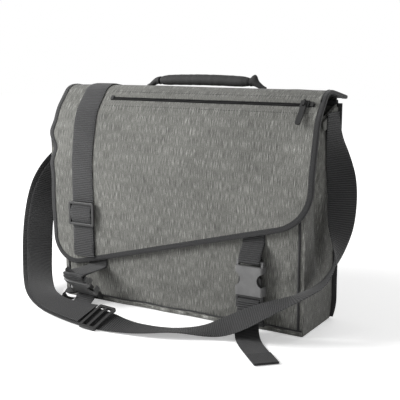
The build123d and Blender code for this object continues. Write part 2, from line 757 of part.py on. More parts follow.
def latch_arm(side):
    """A springy arm that stands on the plug and shows in the socket's window."""
    outer = BUCKLE_WIDTH / 2 - BUCKLE_WALL - ARM_SIDE_GAP
    outline = Polygon(
        (7.2, 0),
        (10.4, 0),
        (11.0, 8),
        (outer, 13),
        (outer - 0.6, 22),
        (outer - 4.5, ARM_LENGTH),
        (outer - 6.5, ARM_LENGTH),
        (7.6, 9),
        align=None,
    )
    arm = extrude(Plane.XZ * outline, 2.6, both=True)
    if side < 0:
        return mirror(arm, about=Plane.YZ)
    return arm


def tab_loop():
    """Webbing that goes down in front of the socket's bar, through its slot and up behind."""
    inner = BAR_DEPTH / 2 + SOFT_GAP
    outer = inner + WEBBING
    low = SOCKET_LENGTH - BAR_HEIGHT - SOFT_GAP
    eye_top = SOCKET_LENGTH + SOFT_GAP
    meet = SOCKET_LENGTH + TAB_MEET + 0.6
    outside = Polygon(
        (-outer, low - WEBBING),
        (outer, low - WEBBING),
        (outer, eye_top),
        (WEBBING, meet),
        (-WEBBING, meet),
        (-outer, eye_top),
        align=None,
    )
    inside = Polygon(
        (-inner, low),
        (inner, low),
        (inner, eye_top),
        (0, meet - 1),
        (-inner, eye_top),
        align=None,
    )
    return extrude(Plane.YZ * (outside - inside), CLOSURE_WIDTH / 2, both=True)


def socket_tab(side):
    """Doubled webbing that hangs a socket from the inside of the flap."""
    half = CLOSURE_WIDTH / 2
    place = buckle_place(side)
    meet = (place * Pos(0, 0, SOCKET_LENGTH + TAB_MEET)).position
    under = FLAP_FRONT_Y + FLAP_SHELL + FLAP_LINING + 3 * SEAM_GAP + 0.9
    centre = under + WEBBING
    top = hem_at(meet.X) + TAB_UNDER_FLAP
    exit_z = hem_at(meet.X) - HEM_SLOPE * half - 3 * WEBBING
    corners = [(centre, top), (centre, exit_z), (meet.Y, meet.Z)]
    run = sheet(corners, [5], -WEBBING, WEBBING, half)
    return Pos(meet.X, 0, 0) * run + place * tab_loop()


# ---- carry handle ------------------------------------------------------------------------------
def flap_top_z(y):
    """Height of the flap's outside between its back edge and the crest."""
    back = Vector(*FLAP_CORNERS[0])
    crest = Vector(*FLAP_CORNERS[1])
    share = (back.X - y) / (back.X - crest.X)
    return back.Y + share * (crest.Y - back.Y)


PIVOT_Z = flap_top_z(HANDLE_Y) + SEAM_GAP + TAB_THICKNESS + CORD_TIP_RADIUS - SEAM_GAP


def handle_tab(side):
    """A sewn patch that fastens one end of the handle to the flap."""
    back = Vector(*FLAP_CORNERS[0])
    crest = Vector(*FLAP_CORNERS[1])
    slope = (crest - back).normalized()
    out = Vector(0, slope.Y, -slope.X)
    foot = Vector(side * (HANDLE_SPAN / 2 + 4), HANDLE_Y, flap_top_z(HANDLE_Y))
    origin = foot + out * SEAM_GAP
    plane = Plane(origin, x_dir=(1, 0, 0), z_dir=out)
    patch = extrude(RectangleRounded(TAB_LENGTH, TAB_WIDTH, 1.5), TAB_THICKNESS)
    return plane * patch


def handle_grip():
    grip = Cylinder(GRIP_RADIUS, GRIP_LENGTH, rotation=(0, 90, 0))
    grip = fillet(grip.edges(), 3)
    return Pos(0, HANDLE_Y, PIVOT_Z + GRIP_LIFT) * grip


def handle_cord(side):
    """Folded webbing that narrows from the grip's end down to its tab."""
    grip_end = Vector(side * (GRIP_LENGTH / 2 + 0.3), HANDLE_Y, PIVOT_Z + GRIP_LIFT)
    tip = Vector(side * HANDLE_SPAN / 2, HANDLE_Y, PIVOT_Z)
    start = Plane(grip_end, z_dir=(side, 0, 0)) * Circle(5.2)
    end = Plane(tip, z_dir=(side * 0.6, 0, -0.8)) * Circle(CORD_TIP_RADIUS)
    return loft([start, end])


# ---- every piece ---------------------------------------------------------------------------------
def all_parts():
    parts = {
        "base_panel": base_panel(),
        "base_board": base_board(),
        "front_panel": front_panel(),
        "front_top_binding": front_top_binding(),
        "back_panel": back_panel(),
        "back_top_binding": back_top_binding(),
        "laptop_divider": divider(),
        "base_welt": base_welt(),
        "strap_ring": strap_ring(),
        "strap_ring_tab": ring_tab(),
        "strap_ring_loop": ring_loop(),
        "strap_slider": strap_slider(),
        "shoulder_strap": strap(STRAP_ROUTE, SHOULDER_WIDTH, "shoulder strap"),
        "shoulder_strap_return": strap(RETURN_ROUTE, SHOULDER_WIDTH, "doubled layer"),
        "left_closure_tail": strap(LEFT_TAIL_ROUTE, TAIL_WIDTH, "left tail", 3.0),
        "flap_shell": flap_shell(),
        "flap_lining": flap_lining(),
        "flap_binding": flap_binding(),
        "flap_strap": flap_strap(),
        "flap_strap_fold": flap_strap_fold(),
        "flap_triglide": flap_triglide(),
        "zip_tape": zip_tape(),
        "zip_coil": zip_coil(),
        "zip_stops": zip_stops(),
        "zip_slider": zip_slider(),
        "zip_puller": zip_puller(),
        "handle_grip": handle_grip(),
    }
    closures = {"right": RIGHT_CLOSURE_ROUTE, "left": LEFT_CLOSURE_ROUTE}
    for name, side in (("right", 1), ("left", -1)):
        place = buckle_place(side)
        route = closures[name]
        parts[f"{name}_gusset"] = gusset(side)
        parts[f"{name}_front_seam_tape"] = front_seam_tape(side)
        parts[f"{name}_back_seam_binding"] = back_seam_binding(side)
        parts[f"{name}_strap_anchor"] = strap_anchor(side)
        parts[f"{name}_handle_tab"] = handle_tab(side)
        parts[f"{name}_handle_cord"] = handle_cord(side)
        parts[f"{name}_socket"] = place * socket()
        parts[f"{name}_socket_tab"] = socket_tab(side)
        parts[f"{name}_plug"] = place * plug_base()
        parts[f"{name}_latch_arm_inner"] = place * latch_arm(-side)
        parts[f"{name}_latch_arm_outer"] = place * latch_arm(side)
        parts[f"{name}_closure_strap"] = strap(route, CLOSURE_WIDTH, f"{name} closure", 2.5)
    return parts


os.makedirs("parts", exist_ok=True)
for name, part in all_parts().items():
    export_step(part, f"parts/{name}.step")
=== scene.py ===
# %% [markdown]
# # A messenger bag in heather cloth, webbing and moulded buckles
# The bag's frame comes first: every panel, buckle and hinge already has its place and its motion.
# The pieces made here are the cloth, tape and webbing that a frame of flat plates can't show.

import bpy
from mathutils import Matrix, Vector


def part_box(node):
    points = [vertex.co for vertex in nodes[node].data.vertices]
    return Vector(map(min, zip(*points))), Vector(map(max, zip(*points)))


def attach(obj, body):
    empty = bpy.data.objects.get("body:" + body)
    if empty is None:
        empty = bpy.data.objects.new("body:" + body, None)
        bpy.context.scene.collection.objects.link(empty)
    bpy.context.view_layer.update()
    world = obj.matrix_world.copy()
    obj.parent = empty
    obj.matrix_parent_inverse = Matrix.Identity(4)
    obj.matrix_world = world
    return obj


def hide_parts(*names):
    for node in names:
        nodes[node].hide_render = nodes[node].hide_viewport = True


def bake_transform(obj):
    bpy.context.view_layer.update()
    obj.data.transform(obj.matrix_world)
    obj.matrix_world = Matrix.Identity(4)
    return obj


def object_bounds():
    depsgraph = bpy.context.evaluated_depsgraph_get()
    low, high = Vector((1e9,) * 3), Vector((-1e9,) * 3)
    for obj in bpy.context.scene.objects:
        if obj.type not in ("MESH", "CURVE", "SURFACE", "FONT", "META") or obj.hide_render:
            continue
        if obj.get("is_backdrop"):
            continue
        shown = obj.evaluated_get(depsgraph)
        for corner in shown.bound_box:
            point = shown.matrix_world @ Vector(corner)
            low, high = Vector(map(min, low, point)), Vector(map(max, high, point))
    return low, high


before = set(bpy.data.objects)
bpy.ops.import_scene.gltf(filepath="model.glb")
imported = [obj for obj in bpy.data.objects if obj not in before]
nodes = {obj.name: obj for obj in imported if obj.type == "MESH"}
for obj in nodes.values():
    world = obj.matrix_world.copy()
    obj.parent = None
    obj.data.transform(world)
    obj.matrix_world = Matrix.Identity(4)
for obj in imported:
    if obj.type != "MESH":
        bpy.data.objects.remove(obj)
cad_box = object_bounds()

# %% Tools
import math

import bpy
import numpy as np
from mathutils import Vector

MM = 0.001

# %% [markdown]
# ## Camera and light
# A long lens from the right, a little above, keeps the panels nearly parallel. The light is a plain
# studio: a wide soft lamp from the upper left, a weaker one from the right and a pale sky.

# %% Camera, floor and lamps
TARGET = Vector((10.4, 0, 148.7)) * MM
CAMERA_AT = Vector((568.6, -951.7, 347.6)) * MM

camera = bpy.data.objects.new("camera", bpy.data.cameras.new("camera"))
bpy.context.scene.collection.objects.link(camera)
camera.data.lens = 74.7
camera.data.sensor_width = 36
camera.location = CAMERA_AT
camera.rotation_euler = (TARGET - CAMERA_AT).to_track_quat("-Z", "Y").to_euler()
bpy.context.scene.camera = camera
bpy.context.scene.view_settings.view_transform = "Standard"


def lamp(name, place, size, power):
    """A square soft lamp that looks at the middle of the bag."""
    data = bpy.data.lights.new(name, "AREA")
    data.size = size
    data.energy = power
    made = bpy.data.objects.new(name, data)
    made.location = place
    made.rotation_euler = (TARGET - made.location).to_track_quat("-Z", "Y").to_euler()
    bpy.context.scene.collection.objects.link(made)


lamp("key", Vector((-0.95, -0.8, 0.8)), 0.7, 27)
lamp("fill", Vector((1.9, -1.1, 0.9)), 1.2, 4)
lamp("rim", Vector((0.3, 1.5, 1.7)), 1.2, 10)

world = bpy.data.worlds.new("sky")
bpy.context.scene.world = world
world.use_nodes = True
sky = world.node_tree
seen = sky.nodes.new("ShaderNodeLightPath")
pick = sky.nodes.new("ShaderNodeMath")
pick.operation = "MULTIPLY_ADD"
pick.inputs[1].default_value = 0.6
pick.inputs[2].default_value = 0.4
sky.nodes["Background"].inputs["Color"].default_value = (1, 1, 1, 1)
sky.links.new(seen.outputs["Is Camera Ray"], pick.inputs[0])
sky.links.new(pick.outputs[0], sky.nodes["Background"].inputs["Strength"])

# %% [markdown]
# ## Helpers for surfaces
# A sheet of cloth is a grid of points: rows down the cloth, columns across it. A second grid, moved
# inwards by the thickness, makes its inside, and a band of faces closes the rim. Straps and cords are
# a closed outline carried along a path. All points are worked out as whole arrays.


# %% Mesh helpers
def quads(rows, columns, first=0, flip=False, closed=False):
    """Faces of a grid whose points are numbered row by row. Closed joins the last column to the first."""
    across = columns if closed else columns - 1
    row, column = np.meshgrid(np.arange(rows - 1), np.arange(across), indexing="ij")
    right = (column + 1) % columns
    corners = [row * columns + column, row * columns + right,
               (row + 1) * columns + right, (row + 1) * columns + column]
    faces = np.stack(corners, -1).reshape(-1, 4) + first
    return faces[:, ::-1] if flip else faces


def build(name, points, faces, uv=None, sharp=40):
    """A mesh object from arrays of points and faces, with one UV pair per point, in metres."""
    mesh = bpy.data.meshes.new(name)
    mesh.from_pydata(np.asarray(points, float).reshape(-1, 3).tolist(), [], [list(f) for f in faces])
    if uv is not None:
        layer = mesh.uv_layers.new(name="UVMap")
        corner = np.zeros(len(mesh.loops), np.int32)
        mesh.loops.foreach_get("vertex_index", corner)
        flat = np.asarray(uv, float).reshape(-1, 2)[corner]
        layer.data.foreach_set("uv", flat.astype(np.float32).ravel())
    mesh.polygons.foreach_set("use_smooth", np.ones(len(mesh.polygons), bool))
    mesh.set_sharp_from_angle(angle=math.radians(sharp))
    mesh.update()
    made = bpy.data.objects.new(name, mesh)
    bpy.context.scene.collection.objects.link(made)
    return made


def slab(name, outer, inner, uv):
    """Two grids of points joined round their rim into one closed sheet. Outer faces point out."""
    rows, columns = outer.shape[:2]
    count = rows * columns
    index = np.arange(count).reshape(rows, columns)
    rim = np.concatenate([index[0, :], index[1:, -1], index[-1, -2::-1], index[-2:0:-1, 0]])
    after = np.roll(rim, -1)
    band = np.stack([rim, rim + count, after + count, after], -1)
    outside = quads(rows, columns)
    inside = quads(rows, columns, count, flip=True)
    faces = np.concatenate([outside, inside, band])
    points = np.concatenate([outer.reshape(-1, 3), inner.reshape(-1, 3)])
    made = build(name, points, faces, np.concatenate([uv.reshape(-1, 2)] * 2))
    face_outwards(made)
    return made


def face_outwards(piece):
    """Turns a closed mesh the right way out, by the sign of its volume."""
    mesh = piece.data
    mesh.calc_loop_triangles()
    corner = np.zeros(len(mesh.loop_triangles) * 3, np.int32)
    mesh.loop_triangles.foreach_get("vertices", corner)
    points = np.zeros(len(mesh.vertices) * 3, np.float32)
    mesh.vertices.foreach_get("co", points)
    a, b, c = points.reshape(-1, 3).astype(float)[corner].reshape(-1, 3, 3).transpose(1, 0, 2)
    if np.einsum("ij,ij->i", a, np.cross(b, c)).sum() < 0:
        mesh.flip_normals()


def unit(vectors):
    return vectors / np.linalg.norm(vectors, axis=-1, keepdims=True)


def sweep(name, path, across, up, outline, closed=False, around=None):
    """A closed outline (across, up) carried along a path. The ends are closed by flat caps.

    Point (i, j) is path[i] + across[i] * outline[j, 0] + up[i] * outline[j, 1]."""
    rows, columns = len(path), outline.shape[-2]
    shape = outline if outline.ndim == 3 else np.repeat(outline[None], rows, 0)
    points = path[:, None] + across[:, None] * shape[..., :1] + up[:, None] * shape[..., 1:]
    walk = np.concatenate([[0], np.cumsum(np.linalg.norm(np.diff(path, axis=0), axis=1))])
    side = shape[..., 0] if around is None else np.repeat(around[None], rows, 0)
    uv = np.stack([side, np.repeat(walk[:, None], columns, 1)], -1)
    faces = quads(rows, columns, closed=True).tolist()
    if closed:
        last = (rows - 1) * columns
        ring = np.arange(columns)
        joint = np.stack([last + ring, last + np.roll(ring, -1), np.roll(ring, -1), ring], -1)
        faces += joint.tolist()
    else:
        faces.append(list(range(columns))[::-1])
        faces.append(list(range((rows - 1) * columns, rows * columns)))
    made = build(name, points, faces, uv)
    face_outwards(made)
    return made


def round_line(corners, radii, per_arc=12):
    """Straight runs joined by round corners: each corner gives way to an arc that touches both runs."""
    corners = np.asarray(corners, float)
    parts = [corners[:1]]
    for before, corner, after, radius in zip(corners, corners[1:], corners[2:], radii):
        back = unit(before - corner)
        ahead = unit(after - corner)
        half = math.acos(back @ ahead) / 2
        centre = corner + unit(back + ahead) * radius / math.sin(half)
        start = corner + back * radius / math.tan(half) - centre
        end = corner + ahead * radius / math.tan(half) - centre
        turn = math.pi - 2 * half
        t = np.linspace(0, 1, per_arc)[:, None]
        parts.append(centre + (np.sin((1 - t) * turn) * start + np.sin(t * turn) * end) / math.sin(turn))
    parts.append(corners[-1:])
    return np.vstack(parts)


def walked(line):
    """Distance walked along a line at each of its points."""
    return np.concatenate([[0], np.cumsum(np.linalg.norm(np.diff(line, axis=0), axis=1))])


def at(line, distance):
    """Points at these distances along a line."""
    walk = walked(line)
    return np.stack([np.interp(distance, walk, line[:, k]) for k in range(line.shape[1])], -1)


def evenly(line, step):
    """The line walked in even steps of about this length."""
    total = walked(line)[-1]
    return at(line, np.linspace(0, total, max(2, round(total / step) + 1)))


def cloud(x, y, size, seed):
    """Soft random heights from -1 to 1: a grid of seeded random values, smoothly interpolated."""
    rng = np.random.default_rng(seed)
    table = rng.uniform(-1, 1, (64, 64))
    u = np.asarray(x) / size[0] + 31.3
    v = np.asarray(y) / size[1] + 29.7
    i, j = np.floor(u).astype(int), np.floor(v).astype(int)
    s, t = u - i, v - j
    s, t = s * s * (3 - 2 * s), t * t * (3 - 2 * t)
    corner = lambda a, b: table[(i + a) % 64, (j + b) % 64]
    low = corner(0, 0) * (1 - s) + corner(1, 0) * s
    high = corner(0, 1) * (1 - s) + corner(1, 1) * s
    return low * (1 - t) + high * t


def crease(x, z, start, end, width, height):
    """A soft ridge along a short line: a bell across it, which fades in and out along it."""
    dx, dz = end[0] - start[0], end[1] - start[1]
    length = math.hypot(dx, dz)
    along = ((x - start[0]) * dx + (z - start[1]) * dz) / length**2
    off = ((x - start[0]) * dz - (z - start[1]) * dx) / length
    fade = np.clip(1 - (2 * along - 1) ** 2, 0, 1)
    return height * fade * np.exp(-((off / width) ** 2))


def ease(value, low, high):
    """0 below low, 1 above high, a smooth step between."""
    t = np.clip((value - low) / (high - low), 0, 1)
    return t * t * (3 - 2 * t)


# %% [markdown]
# ## Cloth, tape, webbing and plastic
# The heather cloth is a plain weave of mixed light and dark yarn, so its colour is many thin upright
# streaks over a fine weave. Two noises stretched along the cloth give the streaks, and a third, much
# larger, gives the faint clouds of wear. Webbing has a rib every 1.5 mm across it. Moulded plastic has
# a fine spark-eroded grain.


# %% Materials
def material(name, color, roughness, specular=0.4):
    """A new material, its node tree and its Principled shader."""
    made = bpy.data.materials.new(name)
    made.use_nodes = True
    made.diffuse_color = (*color, 1)
    shader = made.node_tree.nodes["Principled BSDF"]
    shader.inputs["Base Color"].default_value = (*color, 1)
    shader.inputs["Roughness"].default_value = roughness
    shader.inputs["Specular IOR Level"].default_value = specular
    return made, made.node_tree, shader


def place_on(tree, source, scale):
    """Coordinates from the piece's UV map or its object space, stretched by scale."""
    coordinates = tree.nodes.new("ShaderNodeTexCoord")
    mapping = tree.nodes.new("ShaderNodeMapping")
    mapping.inputs["Scale"].default_value = scale
    tree.links.new(coordinates.outputs[source], mapping.inputs["Vector"])
    return mapping.outputs["Vector"]


def noise(tree, vector, detail=2.0, rough=0.5):
    made = tree.nodes.new("ShaderNodeTexNoise")
    made.inputs["Scale"].default_value = 1.0
    made.inputs["Detail"].default_value = detail
    made.inputs["Roughness"].default_value = rough
    tree.links.new(vector, made.inputs["Vector"])
    return made.outputs["Fac"]


def ramp(tree, factor, stops):
    """A colour ramp with these (place, colour) stops."""
    made = tree.nodes.new("ShaderNodeValToRGB")
    band = made.color_ramp
    while len(band.elements) < len(stops):
        band.elements.new(0.5)
    for element, (place, color) in zip(band.elements, stops):
        element.position = place
        element.color = (*color, 1)
    tree.links.new(factor, made.inputs["Fac"])
    return made.outputs["Color"]


def mix(tree, kind, factor, first, second):
    made = tree.nodes.new("ShaderNodeMix")
    made.data_type = "RGBA"
    made.blend_type = kind
    made.inputs["Factor"].default_value = factor
    tree.links.new(first, made.inputs["A"])
    tree.links.new(second, made.inputs["B"])
    return made.outputs["Result"]


def bump(tree, shader, heights, distance):
    """Adds heights as small relief, this deep in metres."""
    made = tree.nodes.new("ShaderNodeBump")
    made.inputs["Distance"].default_value = distance
    made.inputs["Strength"].default_value = 1.0
    tree.links.new(heights, made.inputs["Height"])
    tree.links.new(made.outputs["Normal"], shader.inputs["Normal"])


def add(tree, first, second, share):
    """first + second * share."""
    made = tree.nodes.new("ShaderNodeMath")
    made.operation = "MULTIPLY_ADD"
    made.inputs[1].default_value = share
    tree.links.new(second, made.inputs[0])
    tree.links.new(first, made.inputs[2])
    return made.outputs[0]


def grey(level, olive=0.0):
    """A grey of this level. olive takes some blue out of it."""
    return (level, level, level * (1 - olive))


def heather(name, source, upright):
    """Grey cloth of mixed yarn. upright says which axis the streaks run along: 1 for V, 2 for Z."""
    made, tree, shader = material(name, grey(0.17), 0.88, 0.2)
    thin = [2000.0, 2000.0, 2000.0]
    thin[upright] = 75.0
    fine = [2400.0, 2400.0, 2400.0]
    fine[upright] = 600.0
    streaks = noise(tree, place_on(tree, source, thin), 2.5, 0.65)
    yarn = noise(tree, place_on(tree, source, fine), 1.0)
    clouds = noise(tree, place_on(tree, source, (11, 11, 11)), 3.0)
    color = ramp(tree, streaks, [(0.30, grey(0.07, 0.08)), (0.46, grey(0.15, 0.08)),
                                 (0.58, grey(0.24, 0.07)), (0.72, grey(0.58, 0.05))])
    speck = ramp(tree, yarn, [(0.3, grey(0.5)), (0.55, grey(0.95)), (0.75, grey(1.0))])
    color = mix(tree, "MULTIPLY", 0.75, color, speck)
    shade = ramp(tree, clouds, [(0.3, grey(0.7)), (0.7, grey(1.0))])
    color = mix(tree, "MULTIPLY", 0.8, color, shade)
    tree.links.new(color, shader.inputs["Base Color"])
    bump(tree, shader, add(tree, streaks, yarn, 0.8), 0.0004)
    shader.inputs["Sheen Weight"].default_value = 0.12
    return made


def ribbed(name, level, source, pitch, along=1, deep=0.0004, roughness=0.6):
    """Woven tape: ribs run across it at this pitch, and faint warp lines run along it."""
    made, tree, shader = material(name, grey(level), roughness, 0.35)
    wave = tree.nodes.new("ShaderNodeTexWave")
    wave.wave_type = "BANDS"
    wave.bands_direction = "XYZ"[along]
    wave.inputs["Scale"].default_value = math.pi / (10 * pitch)
    wave.inputs["Distortion"].default_value = 0.6
    wave.inputs["Detail"].default_value = 1.0
    tree.links.new(place_on(tree, source, (1, 1, 1)), wave.inputs["Vector"])
    warp = [1500.0, 1500.0, 1500.0]
    warp[along] = 300.0
    threads = noise(tree, place_on(tree, source, warp), 1.0)
    clouds = noise(tree, place_on(tree, source, (25, 25, 25)), 2.0)
    color = ramp(tree, wave.outputs["Fac"], [(0.15, grey(level * 0.4)), (0.8, grey(level * 1.5, -0.06))])
    speck = ramp(tree, threads, [(0.35, grey(0.6)), (0.65, grey(1.0))])
    color = mix(tree, "MULTIPLY", 0.7, color, speck)
    shade = ramp(tree, clouds, [(0.3, grey(0.75)), (0.7, grey(1.0))])
    color = mix(tree, "MULTIPLY", 0.6, color, shade)
    tree.links.new(color, shader.inputs["Base Color"])
    bump(tree, shader, add(tree, wave.outputs["Fac"], threads, 0.6), deep)
    shader.inputs["Sheen Weight"].default_value = 0.15
    return made


def moulded(name, level, roughness):
    """Moulded plastic with a fine grain and random patches a little polished by use."""
    made, tree, shader = material(name, grey(level), roughness, 0.5)
    grain = noise(tree, place_on(tree, "Object", (1600, 1600, 1600)), 2.0)
    wear = noise(tree, place_on(tree, "Object", (60, 60, 60)), 3.0)
    color = ramp(tree, wear, [(0.3, grey(level * 0.8)), (0.7, grey(level * 1.15))])
    tree.links.new(color, shader.inputs["Base Color"])
    gloss = ramp(tree, wear, [(0.3, grey(roughness + 0.08)), (0.7, grey(roughness - 0.06))])
    tree.links.new(gloss, shader.inputs["Roughness"])
    bump(tree, shader, grain, 0.00006)
    return made


def plain_cloth(name, level, source):
    """Smooth lining cloth with a fine plain weave."""
    made, tree, shader = material(name, grey(level), 0.75, 0.3)
    weave = noise(tree, place_on(tree, source, (1800, 1800, 1800)), 1.0)
    clouds = noise(tree, place_on(tree, source, (18, 18, 18)), 3.0)
    color = ramp(tree, weave, [(0.3, grey(level * 0.6)), (0.7, grey(level * 1.2))])
    shade = ramp(tree, clouds, [(0.3, grey(0.75)), (0.7, grey(1.0))])
    tree.links.new(mix(tree, "MULTIPLY", 0.6, color, shade), shader.inputs["Base Color"])
    bump(tree, shader, weave, 0.0002)
    return made


HEATHER = heather("heather_cloth", "UV", 1)
WEBBING = ribbed("webbing", 0.03, "UV", 2.5 * MM, deep=0.0007)
STRAP_WEBBING = ribbed("strap_webbing", 0.023, "UV", 2.8 * MM, deep=0.0007)
BINDING = ribbed("binding_tape", 0.026, "UV", 1.0 * MM, deep=0.0002)
LINING = plain_cloth("lining_cloth", 0.03, "UV")
HANDLE_CLOTH = plain_cloth("handle_cloth", 0.045, "UV")
THREAD = plain_cloth("sewing_thread", 0.07, "Object")
PLASTIC_BLACK = moulded("black_plastic", 0.03, 0.42)
# The sockets' grey is painted reflection: it stands in for the sky light that their satin faces reflect.
PLASTIC_GREY_PAINTED_REFLECTION = moulded("grey_plastic_painted_reflection", 0.135, 0.42)
ZIP_PLASTIC = moulded("zip_plastic", 0.012, 0.62)
BOARD = moulded("base_board", 0.08, 0.7)
print("materials", len(bpy.data.materials))

# %% [markdown]
# ## Floor
# A pale floor keeps the soft shadow, so that the bag stands on something. It is nearly white where no
# shadow falls.

# %% Floor
FLOOR_HALF = 4.0
floor = build("floor", [(-FLOOR_HALF, -FLOOR_HALF, 0), (FLOOR_HALF, -FLOOR_HALF, 0),
                        (FLOOR_HALF, FLOOR_HALF, 0), (-FLOOR_HALF, FLOOR_HALF, 0)], [(0, 1, 2, 3)])
paper, paper_tree, paper_shader = material("pale_floor", grey(0.93), 0.9, 0.1)
reach = paper_tree.nodes.new("ShaderNodeVectorMath")
reach.operation = "LENGTH"
away = paper_tree.nodes.new("ShaderNodeMapRange")
away.inputs["From Min"].default_value = 0.3
away.inputs["From Max"].default_value = 1.1
away.inputs["To Min"].default_value = 0.38
away.inputs["To Max"].default_value = 0.7
eye = paper_tree.nodes.new("ShaderNodeLightPath")
only_seen = paper_tree.nodes.new("ShaderNodeMath")
only_seen.operation = "MULTIPLY"
paper_tree.links.new(place_on(paper_tree, "Object", (1, 1, 1)), reach.inputs[0])
paper_tree.links.new(reach.outputs["Value"], away.inputs["Value"])
paper_tree.links.new(away.outputs["Result"], only_seen.inputs[0])
paper_tree.links.new(eye.outputs["Is Camera Ray"], only_seen.inputs[1])
paper_tree.links.new(only_seen.outputs[0], paper_shader.inputs["Emission Strength"])
paper_shader.inputs["Emission Color"].default_value = (1, 1, 1, 1)
floor.data.materials.append(paper)
floor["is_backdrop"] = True


# %% Dress a piece
def dress(piece, finish, body, slot, *stands_for):
    """Gives a piece its finish and the body it moves with, and hides the nodes it stands for."""
    piece.data.materials.append(finish)
    if body:
        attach(piece, body)
    if stands_for:
        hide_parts(*stands_for)
    return piece


# %% [markdown]
# ## Flap
# The flap is one cloth that starts at the back seam, passes over the crest and falls down the front.
# Seen from the side it is one line with three round turns. A point of the cloth is named by how far
# across it lies and how far down that line, so tape, webbing and stitches can be laid on it later.

# %% Flap line and flap cloth
FLAP_LINE = round_line([(47.5, 291), (-14, 302.4), (-44, 266), (-57, 200), (-57, 0)], [25, 45, 120], 24)
FLAP_WALK = walked(FLAP_LINE)
FLAP_HALF = 198.0
HEM_MIDDLE = 91.4
HEM_SLOPE = 0.255
ZIP_AT = FLAP_WALK[np.argmin(np.abs(FLAP_LINE[:, 1] - 302.4))] + 25.0
CREST_FROM_BACK = math.hypot(61.5, 11.4)
ZIP_DOWN = CREST_FROM_BACK + 25.0 - 2.1


def walk_at_height(z):
    """How far down the flap's line the front passes this height."""
    front = FLAP_LINE[:, 0] < -20
    return np.interp(-np.asarray(z), -FLAP_LINE[front, 1], FLAP_WALK[front])


def flap_ripple(x, walk):
    """How far the cloth stands off its even line: slow swells and a few pulled creases, in mm."""
    free = ease(walk, 30, 70) * ease(np.abs(walk - ZIP_DOWN), 8, 40)
    z = 292 - walk
    swell = 1.1 * cloud(x, walk, (95, 120), 4) + 0.45 * cloud(x, walk, (38, 60), 9)
    pulled = crease(x, z, (-198, 215), (-120, 170), 9, 1.6)
    pulled += crease(x, z, (-190, 190), (-90, 120), 14, 1.2)
    pulled += crease(x, z, (60, 110), (150, 175), 12, 1.3)
    pulled += crease(x, z, (110, 95), (185, 150), 8, -1.2)
    pulled += crease(x, z, (140, 245), (195, 205), 9, 1.5)
    edge = ease(np.abs(x), 150, 198) * 1.5 * cloud(x * 0, walk, (1, 42), 12)
    return free * (swell + pulled + edge) + 0.3


def on_flap(x, walk, lift):
    """A point on the flap, in metres: across x, down the line by walk, lifted off the cloth."""
    x, walk, lift = np.broadcast_arrays(x, walk, lift)
    side = at(FLAP_LINE, walk)
    ahead = unit(at(FLAP_LINE, walk + 1.5) - at(FLAP_LINE, np.maximum(walk - 1.5, 0)))
    out = np.stack([ahead[..., 1], -ahead[..., 0]], -1)
    height = lift + flap_ripple(x, walk)
    kink = 3.2 * np.exp(-(((side[..., 1] - 235) / 13) ** 2)) - 2.4 * np.exp(-(((side[..., 1] - 213) / 10) ** 2))
    kink += 1.4 * np.exp(-(((side[..., 1] - 192) / 12) ** 2))
    kink = kink * ease(-x, 165, 198) * ease(walk, 70, 90)
    height = height + kink * 0.8
    pull = 2.4 * ease(walk, 60, 130) * np.sign(x) * ease(np.abs(x), 120, 198) * cloud(x * 0, walk, (1, 55), 21)
    return np.stack([x + pull - kink, side[..., 0] + out[..., 0] * height, side[..., 1] + out[..., 1] * height], -1) * MM


def hem_outline(inset=0.0):
    """The flap's outline seen from the front: down one side, along the slanted hem, up the other."""
    side = FLAP_HALF - inset
    lift = inset * math.hypot(1, HEM_SLOPE)
    low = lambda x: HEM_MIDDLE + HEM_SLOPE * x + lift
    return round_line([(-side, 250), (-side, low(-side)), (side, low(side)), (side, 250)],
                      [38 - inset, 60 - inset], 24)


def flap_columns(inset=0.0, step=3.2):
    """Where each column of the flap's grid ends: its x, and the walk down to the hem there."""
    line = evenly(hem_outline(inset), step)
    line = line[(np.abs(line[:, 0]) < FLAP_HALF - inset - 0.02) | (line[:, 1] < 130)]
    keep = np.concatenate([[True], np.diff(line[:, 0]) > 0.05])
    line = line[keep]
    return line[:, 0], walk_at_height(line[:, 1])


def flap_sheet(name, low, high, inset, rows=150):
    """A layer of the flap between two heights off its line."""
    across, down = flap_columns(inset)
    share = np.linspace(0, 1, rows)[:, None]
    walk = share * down[None]
    x = np.repeat(across[None], rows, 0)
    return slab(name, on_flap(x, walk, high), on_flap(x, walk, low), np.stack([x, walk], -1) * MM)


flap_cloth = flap_sheet("flap_cloth", -2.2, 0.0, 0.6)
dress(flap_cloth, HEATHER, "flap", "heather_fabric", "flap_shell")
flap_inside = flap_sheet("flap_inside", -3.2, -2.4, 5.0)
dress(flap_inside, LINING, "flap", "lining_fabric", "flap_lining")
print("flap", len(flap_cloth.data.vertices), "points")


# %% [markdown]
# ## Tape round the flap's edge
# The raw edge is closed by a folded tape. Its section is a narrow loop that goes over the outside,
# round the edge and back on the inside. It is carried down one side, along the hem and up the other.

# %% Flap edge tape
TAPE_WIDTH = 6.5


